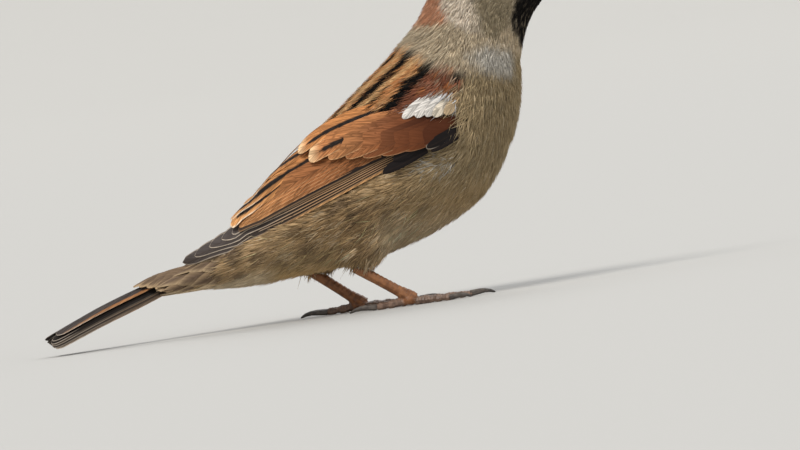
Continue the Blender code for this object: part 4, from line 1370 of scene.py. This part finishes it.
def barb_group():
    """Barbs: fine lines that leave the shaft at a slant, as a tone and a height."""
    tree = bpy.data.node_groups.new("barbs", "ShaderNodeTree")
    for way, names in (("INPUT", ("Slant", "Fineness")), ("OUTPUT", ("Tone", "Height"))):
        for name in names:
            tree.interface.new_socket(name, in_out=way, socket_type="NodeSocketFloat")
    given, result = node(tree, "NodeGroupInput").outputs, node(tree, "NodeGroupOutput")
    along, across, own = (reading(tree, name) for name in ("along", "across", "own"))
    times, plus, less, size = (
        chained(tree, operation) for operation in ("MULTIPLY", "ADD", "SUBTRACT", "ABSOLUTE")
    )
    barb = less(along, times(size(across), given["Slant"]))
    found = []
    for share, detail in ((1.0, 3.0), (0.34, 1.0)):
        place = node(tree, "ShaderNodeCombineXYZ")
        put(tree, place.inputs[0], times(barb, times(given["Fineness"], share)))
        put(tree, place.inputs[1], times(across, 0.35))
        put(tree, place.inputs[2], plus(times(along, 0.06), own))
        found.append(noise_of(tree, place.outputs[0], 1.0, detail, Roughness=0.65))
    fine, broad = found
    # The web parts between some barbs, in thin dark lines
    parted = ramp_of(tree, size(less(broad, 0.5)), 0.0, 0.035)
    tone = times(ramp_of(tree, fine, 0.32, 0.68), ramp_of(tree, parted, 0.0, 1.0, 0.3, 1.0))
    put(tree, result.inputs["Tone"], tone)
    put(tree, result.inputs["Height"], plus(fine, times(parted, 0.5)))
    return tree


barbs = barb_group()


def vane_material(name, dark_colour, rim_width, rim_soft=0.12, shaft=0.6, slant=3.0, fineness=1.0,
                  contrast=0.3, rough=0.6, blur=0.22, relief=0.3):
    """A feather's finish: its web's colour with a dark middle, a rim, a shaft and fine barbs."""
    made, tree, shader = principled(name, Specular_IOR_Level=0.11)
    times, plus = chained(tree, "MULTIPLY"), chained(tree, "ADD")
    lines = node(tree, "ShaderNodeGroup", node_tree=barbs)
    lines.inputs["Slant"].default_value = slant
    lines.inputs["Fineness"].default_value = fineness
    tone = lines.outputs["Tone"]
    web = reading(tree, "web", "Color")
    ragged = plus(reading(tree, "dark"), times(chained(tree, "SUBTRACT")(tone, 0.5), 0.5))
    colour = blend_of(tree, ramp_of(tree, ragged, -blur, blur), web, dark_colour)
    inner, outer = rim_width + rim_soft, max(rim_width - rim_soft, 0.0)
    at_rim = times(ramp_of(tree, reading(tree, "edge"), inner, outer), reading(tree, "pale"))
    colour = blend_of(tree, at_rim, colour, reading(tree, "rim", "Color"))
    from_shaft = chained(tree, "ABSOLUTE")(reading(tree, "across"))
    colour = blend_of(tree, times(ramp_of(tree, from_shaft, 0.22, 0.06), shaft), colour, SHAFT)
    light = node(tree, "ShaderNodeRGBToBW")
    put(tree, light.inputs[0], web)
    lively = ramp_of(tree, light.outputs[0], 0.03, 0.14, 0.12, 1.0)
    shade = plus(times(ramp_of(tree, tone, 0.0, 1.0, -contrast, contrast * 0.75), lively), 1.0)
    dull = ramp_of(tree, tone, 0, 1, rough + 0.12, rough - 0.08)
    dress(tree, shader, scaled(tree, colour, shade), dull, lines.outputs["Height"], relief, 0.05)
    return made


SHAFT = (0.06, 0.035, 0.022)
quill_finish = vane_material(
    "flight_feather", (0.022, 0.017, 0.014), 0.19, rim_soft=0.09, shaft=0.3, slant=3.4,
    contrast=0.42, relief=0.06,
)
tertial_finish = vane_material(
    "tertial_feather", (0.013, 0.010, 0.009), 0.26, rim_soft=0.16, shaft=0.15, contrast=0.42
)
covert_finish = vane_material(
    "covert_feather", (0.015, 0.011, 0.010), 0.15, rim_soft=0.1, shaft=0.15, contrast=0.4
)
ORANGE = (0.50, 0.205, 0.068)
PALE_ORANGE = (0.60, 0.29, 0.11)
RUFOUS = (0.16, 0.050, 0.018)
DEEP_RUFOUS = (0.080, 0.023, 0.009)
QUILL_BROWN = (0.034, 0.025, 0.019)
PALE_TIP = (0.78, 0.52, 0.29)
WHITE = (0.66, 0.62, 0.57)
PRIMARIES = (  # tip and strength of the pale rim, from the outermost
    ((2.2, 4.6), 0.3), ((0.6, 3.7), 0.6), ((4.0, 4.5), 0.8), ((8.4, 5.9), 0.85),
    ((12.0, 6.8), 0.85), ((15.0, 8.0), 0.8), ((17.5, 9.2), 0.5), ((20, 10.3), 0.3),
    ((22, 11.2), 0.2),
)
SECONDARY = (0.33, 0.125, 0.045), (0.48, 0.215, 0.08)
OUTER_SECONDARY = (0.022, 0.016, 0.014), (0.06, 0.04, 0.03)
TERTIALS = (  # tip, base, widths of the webs, sag, half width of the dark middle, height
    ((15.8, 7.2), (52, 18.9), 1.7, 2.6, -0.4, 0.62, 1.65),
    ((16.4, 4.9), (52, 17.8), 1.7, 2.6, -0.2, 0.66, 1.8),
    ((20.6, 1.2), (52, 14.6), 1.8, 2.4, -0.2, 0.72, 1.95),
    ((30.0, 0.8), (54, 9.4), 1.7, 1.8, -0.2, 0.70, 2.1),
)
TERTIAL_DARK = ((0, 0.6), (0.4, 0.9), (0.76, 1.3), (0.88, 1.35), (0.94, 0.5))
ALULA = (  # tip, base, widths of the webs, heights, strength of the pale rim
    ((55.6, 31.9), (68, 36.4), 0.8, 1.5, (-0.3, 0.95), 0.0),
    ((59.2, 31.6), (69, 34.9), 0.9, 1.7, (-0.2, 1.1), 0.0),
    ((68.6, 36.9), (80, 40.2), 0.7, 1.4, (-0.4, 1.2), 0.0),
    ((67.8, 35.3), (80, 39.0), 1.0, 1.5, (-0.3, 1.35), 0.55),
)
GREATER = (  # tip, base, colour and colour at the tip, strength of the rim, sag, from the outermost
    ((66.8, 33.0), (80, 38.0), DEEP_RUFOUS, DEEP_RUFOUS, 0.15, 0.9),
    ((62.0, 30.9), (80, 37.2), DEEP_RUFOUS, RUFOUS, 0.2, 0.9),
    ((57.2, 28.2), (79, 36.2), DEEP_RUFOUS, (0.17, 0.055, 0.020), 0.3, 0.8),
    ((53.0, 25.3), (78, 34.8), DEEP_RUFOUS, (0.23, 0.08, 0.03), 0.35, 0.6),
    ((49.2, 22.2), (76, 33.0), RUFOUS, (0.31, 0.12, 0.044), 0.45, 0.4),
    ((45.2, 18.8), (73, 30.4), (0.20, 0.068, 0.025), (0.42, 0.18, 0.068), 0.5, 0.2),
    ((40.8, 14.3), (68, 26.0), (0.40, 0.16, 0.058), PALE_TIP, 0.8, 0.0),
    ((39.1, 9.4), (63, 18.6), ORANGE, PALE_TIP, 0.8, -0.2),
)
OUTER_GREATER = dict(low=1.25, end=5.5, tip_from=0.4, rim=(0.36, 0.15, 0.06))
INNER_GREATER = dict(low=1.9, end=2.8, tip_from=0.86, rim=(0.74, 0.47, 0.25), dark=(
    (0, 0.3), (0.2, 0.6), (0.5, 0.72), (0.78, 0.66), (0.87, 0.4), (0.92, -0.4), (1, -1)
))
MEDIAN = (  # tip, base and colour
    ((65.6, 25.6), (75.2, 26.4), WHITE), ((68.6, 27.6), (76.6, 27.9), WHITE),
    ((70.9, 29.3), (77.8, 29.4), WHITE), ((72.6, 30.8), (79.2, 31.0), (0.58, 0.51, 0.41)),
    ((75.3, 32.4), (80.6, 32.4), (0.42, 0.31, 0.19)),
)

for side in SIDES:
    wing = on_wing(side)
    seed = {"right": 1, "left": 101}[side]
    quills, tertials, coverts = [], [], []
    for k, (tip, pale) in enumerate(PRIMARIES):
        web = (0.56, 0.30, 0.125) if k == 0 else (0.030, 0.023, 0.019) if k > 5 else QUILL_BROWN
        quills.append(vane(
            wing, (62.5 - 0.3 * k, 34.0 - 0.62 * k), tip, 1.0, 3.0, web, seed + k,
            rise=(-1.0 + 0.1 * k, -0.35 + 0.13 * k), sag=1.35 - 0.05 * k, camber=0.03, end=5.0,
            web_tip=(0.095, 0.078, 0.072), tip_from=0.42, pale=pale, rim=(0.54, 0.32, 0.165),
            rim_tip=(0.62, 0.52, 0.41),
        ))
    for j in range(6):
        # Secondaries, the outermost nearly black
        web, web_tip = SECONDARY if j else OUTER_SECONDARY
        quills.append(vane(
            wing, (58.0 - 0.9 * j, 29.4 - 1.2 * j), (17.0 + 0.6 * j, 9.9 - 0.42 * j), 1.1, 3.0, web,
            seed + 20 + j, rise=(-0.1 + 0.08 * j, 0.88 + 0.12 * j), sag=0.25, camber=0.03, end=4.0,
            web_tip=web_tip, tip_from=0.4, pale=0.3,
        ))
    feather_piece(f"flight_feathers_{side}", quills, quill_finish, "flight_feathers",
                  f"wing_{side}_primaries")
    for k, (tip, base, low, high, sag, half, height) in enumerate(TERTIALS):
        dark = [(at, half * wide) for at, wide in TERTIAL_DARK] + [(0.97, -0.4), (1, -1)]
        tertials.append(vane(
            wing, base, tip, low, high, ORANGE, seed + 40 + k, rise=(-0.4, height), sag=sag,
            end=3.6, dark=dark, dark_off=-0.15, web_tip=PALE_ORANGE, tip_from=0.3, pale=0.85,
            pale_from=0.84, rim=(0.86, 0.70, 0.52),
        ))
    feather_piece(f"tertials_{side}", tertials, tertial_finish, "wing_feathers",
                  f"wing_{side}_secondaries")
    # Primary coverts and the alula, black and short, at the wing's lower edge
    for k, (tip, base, low, high, rise, pale) in enumerate(ALULA):
        coverts.append(vane(
            wing, base, tip, low, high, (0.013, 0.010, 0.010), seed + 50 + k, rise=rise, sag=0.2,
            end=4.2, narrow=0.75, pale=pale, pale_from=0.88, rim=(0.6, 0.5, 0.4),
        ))
    # Greater coverts, the two innermost with black middles
    for k, (tip, base, web, web_tip, pale, sag) in enumerate(GREATER):
        coverts.append(vane(
            wing, base, tip, high=3.4, web=web, seed=seed + 60 + k, rise=(-0.5, 1.35 + 0.12 * k),
            sag=sag, camber=0.05, web_tip=web_tip, pale=pale, rim_tip=(0.70, 0.43, 0.22),
            **(OUTER_GREATER if k < 6 else INNER_GREATER),
        ))
    # Median coverts, white, the foremost turning buff
    for k, (tip, base, web) in enumerate(MEDIAN):
        coverts.append(vane(
            wing, base, tip, 1.5, 1.3, web, seed + 80 + k, rise=(-1.0, 0.95 + 0.06 * k), camber=0.2,
            end=2.8 if k else 4.5, narrow=0.85,
        ))
    feather_piece(f"wing_coverts_{side}", coverts, covert_finish, "wing_feathers",
                  f"wing_{side}_coverts")

# Tail. Twelve stiff feathers folded into a narrow roof, the middle pair on top, their shafts side
# by side at the root. The outer ones show only their edges below the top pair.
TAIL_ROOT = np.array([tail_high.x, 0, tail_high.z])
TAIL_LONG = (tail_high.x - tail_low.x) / math.cos(TAIL_SLOPE) / MM
TAIL_HALF = (5.6, 7.0)  # half width and depth of the roof, at its root and at its end
TAIL_DEPTH = (5.8, 3.7)
TAIL_ROUND = 8.6


def on_tail(side):
    """Places on one side of the tail: back from its root and out from its ridge, in millimetres."""

    def place(back, out, rise):
        part = np.clip(back / TAIL_LONG, -0.6, 1.1)
        share = out / TAIL_ROUND
        half, depth = (ends[0] + (ends[1] - ends[0]) * part for ends in (TAIL_HALF, TAIL_DEPTH))
        drop = depth * np.abs(share) ** 1.6
        lean = np.arctan2(depth * 1.6 * np.abs(share) ** 0.6 * np.sign(share), half)
        x = TAIL_ROOT[0] - back * MM * math.cos(TAIL_SLOPE)
        z = TAIL_ROOT[2] - (back * math.sin(TAIL_SLOPE) + drop) * MM + rise * MM * np.cos(lean)
        y = SIDES[side] * (half * share + rise * np.sin(lean)) * MM
        return np.stack([x, y, np.maximum(z, 0.12 * MM)], axis=-1)

    return place


tail_finish = vane_material(
    "tail_feather", (0.060, 0.048, 0.043), 0.16, rim_soft=0.1, shaft=0.3, contrast=0.4
)
# The tail is a little notched and not quite shut, so the far side's tips show past the near ones
RECTRICES = (  # place out, shortfall right and left, rise, colour, rim and where it starts
    (2.0, 3.2, 0.0, 0.45, (0.34, 0.150, 0.058), 0.75, 0.0),
    (3.3, 2.0, 0.5, -0.15, (0.014, 0.011, 0.009), 0.7, 0.93),
    (4.2, 1.6, 0.9, -0.3, (0.016, 0.012, 0.010), 0.7, 0.93),
    (5.0, 1.8, 1.3, -0.42, (0.070, 0.054, 0.040), 0.4, 0.0),
    (5.8, 2.0, 1.7, -0.52, (0.030, 0.023, 0.018), 0.3, 0.0),
    (6.5, 2.6, 2.2, -0.62, (0.11, 0.083, 0.06), 0.6, 0.0),
)
MIDDLE_PAIR = dict(low=2.5, dark=((0, 1.95), (0.7, 2.05), (0.92, 2.4), (1, 2.7)),
                   web_tip=(0.26, 0.165, 0.105), inner_rim=0.55)
rectrices = []
for side in SIDES:
    start = {"right": 200, "left": 240}[side]
    for j, (out, right_short, left_short, rise, web, pale, pale_from) in enumerate(RECTRICES):
        long = TAIL_LONG - (right_short if side == "right" else left_short)
        rectrices.append(vane(
            on_tail(side), (-12, out * 0.8), (long, out), high=2.2, web=web, seed=start + j,
            rise=(rise - 1.9, rise), camber=0.06, end=3.2, narrow=0.8, dark_off=-0.5, pale=pale,
            pale_from=pale_from, rim=(0.30, 0.17, 0.09), rim_tip=(0.62, 0.52, 0.42),
            **(dict(low=1.7) if j else MIDDLE_PAIR),
        ))
feather_piece("tail_feathers", rectrices, tail_finish, "tail_feathers", "tail")

# Tail coverts: long soft feathers of the rump that lie over the roots of the tail feathers.
tail_covert_finish = vane_material(
    "tail_covert", (0.12, 0.080, 0.055), 0.5, rim_soft=0.45, shaft=0.05, slant=2.6, contrast=0.24,
    rough=0.8, blur=1.1,
)
tail_coverts = []
for side in SIDES:
    start = {"right": 300, "left": 340}[side]
    for j, (out, tip) in enumerate(((0.6, 5.2), (2.2, 3.6), (3.8, 1.6), (5.4, -0.6), (6.8, -2.4))):
        tail_coverts.append(vane(
            on_tail(side), (tip - 14, out * 0.85), (tip, out), 1.7, 2.0, (0.20, 0.135, 0.085),
            start + j, rise=(-1.6, 0.62 - 0.05 * j), camber=0.12, end=4.5, narrow=0.6, pale=0.7,
            dark=((0, 0.2), (0.5, 0.45), (0.9, 0.3), (1, -0.5)), web_tip=(0.24, 0.165, 0.10),
            rim=(0.50, 0.35, 0.20),
        ))
# Softer ones ring the tail's root in rows, brown with buff edges above and cream below
REAR_START = np.array([-18.0, 20.5]) * MM
REAR_END = np.array([-47.0, 12.8]) * MM
REAR_LONG = np.linalg.norm(REAR_END - REAR_START) / MM
skin_tree = tree_of(skin_mesh, skin_points)
STUMP_FROM = 20  # past here the rows run on along the tail
GIRTHS = np.arange(0, 181, 6)
BACKS = np.arange(0, 35.1, 1.0)
rear_rows = []
for back in BACKS:
    heart = REAR_START + (REAR_END - REAR_START) * back / REAR_LONG
    ways = ways_round(np.array([-0.26, 0, 0.966]), GIRTHS)
    found = [form_hit((heart[0], 0, heart[1]), way, skin_tree) for way in ways]
    if back > STUMP_FROM:
        step = np.tile(TAIL_WAY, (len(GIRTHS), 1))
        step[:, 2] *= 0.8 - 0.75 * smoothstep(80, 140, GIRTHS)
        found = rear_rows[-1] + step * MM
    rear_rows.append(np.array(found))
rear_map = np.array(rear_rows)
even_rows(rear_map, 4)
rear_out = unit(np.cross(np.gradient(rear_map, axis=0), np.gradient(rear_map, axis=1)))
from_heart = rear_map - np.array([0, 0, 17 * MM])
rear_out *= np.sign(np.sum(rear_out * from_heart, axis=2, keepdims=True))


def on_rear(side):
    """Places on one side: back from the rump, and round the tail's root by tens of degrees."""

    def place(back, around, rise):
        girth = around * 10.0
        flip = np.where((girth < 0) | (girth > 180), -1, 1)
        row = np.clip(back, 0, BACKS[-1] - 0.001)
        column = np.clip((180 - np.abs(180 - np.abs(girth))) / 6.0, 0, len(GIRTHS) - 1.001)
        out = unit(read_at(rear_out, row, column))
        beyond = np.maximum(back - BACKS[-1], 0)[..., None] * TAIL_WAY * MM
        spot = read_at(rear_map, row, column) + out * (rise * MM)[..., None] + beyond
        spot[..., 1] *= -SIDES[side] * flip
        return spot

    return place


REAR_WEB = np.array([(0.34, 0.235, 0.135), (0.56, 0.42, 0.26)])  # above and below
REAR_TIP = np.array([(0.40, 0.285, 0.17), (0.62, 0.48, 0.32)])
REAR_DARK = ((0, 0.3), (0.4, 0.8), (0.75, 0.95), (0.9, 0.3), (1, -0.8))
for side in SIDES:
    seed = {"right": 400, "left": 460}[side]
    for row, back in enumerate((13.5, 17.5, 21.5, 25.5, 30.0)):
        for place in range(7):
            around = 1.4 + 2.8 * place - (0 if row % 2 else 1.4)
            back += 1.3 * math.sin(3.7 * seed)
            low_down = float(smoothstep(11.0, 14.5, around))
            web, web_tip = (near + (far - near) * low_down for near, far in (REAR_WEB, REAR_TIP))
            tip = (back, around + 0.35 * math.cos(2 * seed))
            tail_coverts.append(vane(
                on_rear(side), (back - 15, around), tip, 1.75, 1.75, web, seed,
                rise=(-0.6, 0.85 - 0.06 * row), camber=0.08, wave=0.05, end=9.0, blunt=0.85,
                narrow=0.7, dark=REAR_DARK if low_down < 0.5 else NO_DARK, web_tip=web_tip,
                pale=0.25, rim=(0.52, 0.39, 0.24),
            ))
            seed += 1
feather_piece("tail_covert_feathers", tail_coverts, tail_covert_finish, "tail_feathers")

# Floor, light and view
FLOOR_PROFILE = [(5.0, 0.0), (5.6, 0.03), (6.2, 0.13), (6.7, 0.32), (7.0, 0.6), (7.15, 1.0)]
floor_mesh = bpy.data.meshes.new("floor")
around = 96
turns = np.linspace(0, 2 * math.pi, around + 1)[:-1]
rings = [(r * math.cos(a), r * math.sin(a), z) for r, z in FLOOR_PROFILE for a in turns]
corners = [(0, 0, 0)] + rings
faces = [(0, 1 + k, 1 + (k + 1) % around) for k in range(around)]
for first in range(1, len(corners) - around, around):
    for k in range(around):
        after = (k + 1) % around
        faces.append((first + k, first + around + k, first + around + after, first + after))
floor_mesh.from_pydata(corners, [], faces)
floor_mesh.shade_smooth()
floor = add_piece("floor", floor_mesh)
floor_material, _, _ = principled("pale_floor", Roughness=0.8, Base_Color=(0.50, 0.49, 0.465, 1))
floor_mesh.materials.append(floor_material)

world = bpy.data.worlds.new("studio")
world.use_nodes = True
sky = world.node_tree.nodes["Background"].inputs
sky["Color"].default_value, sky["Strength"].default_value = (0.93, 0.96, 1.0, 1), 0.6
bpy.context.scene.world = world


def soft_sun(name, azimuth, elevation, strength, spread, colour):
    """A broad far lamp. Its azimuth turns from behind the camera towards the way the bird faces."""
    lamp = bpy.data.lights.new(name, "SUN")
    lamp.energy, lamp.angle, lamp.color = strength, math.radians(spread), colour
    a, e = math.radians(azimuth), math.radians(elevation)
    place = Vector((math.sin(a) * math.cos(e), -math.cos(a) * math.cos(e), math.sin(e)))
    add_piece(name, lamp).rotation_euler = place.to_track_quat("Z", "Y").to_euler()


soft_sun("key", -25, 52, 1.9, 28, (1.0, 0.97, 0.92))
soft_sun("fill", 70, 30, 0.55, 60, (0.97, 0.98, 1.0))
soft_sun("back", 160, 45, 0.8, 40, (1.0, 0.98, 0.95))

VIEW_ROLL = math.radians(8.4)
VIEW_WIDTH = 0.200
VIEW_FAR = 2.6
LOOK_DOWN = math.radians(1.2)
view_middle = Vector((cad_box[0][0] + 92.1 * MM, 0, 20.0 * MM))
lens = bpy.data.cameras.new("camera")
lens.sensor_width = 36
lens.lens = lens.sensor_width * VIEW_FAR / VIEW_WIDTH
lens.clip_start, lens.clip_end = 0.05, 20
camera = bpy.context.scene.camera = add_piece("camera", lens)
eye_place = view_middle + Vector((0, -math.cos(LOOK_DOWN), math.sin(LOOK_DOWN))) * VIEW_FAR
ahead = (view_middle - eye_place).normalized()
flat_right = ahead.cross(Vector((0, 0, 1))).normalized()
flat_up = flat_right.cross(ahead)
right_way = flat_right * math.cos(VIEW_ROLL) - flat_up * math.sin(VIEW_ROLL)
up_way = flat_right * math.sin(VIEW_ROLL) + flat_up * math.cos(VIEW_ROLL)
turn = Matrix((right_way, up_way, -ahead)).transposed()
camera.matrix_world = Matrix.Translation(eye_place) @ turn.to_4x4()
bpy.context.scene.view_settings.view_transform = "Standard"
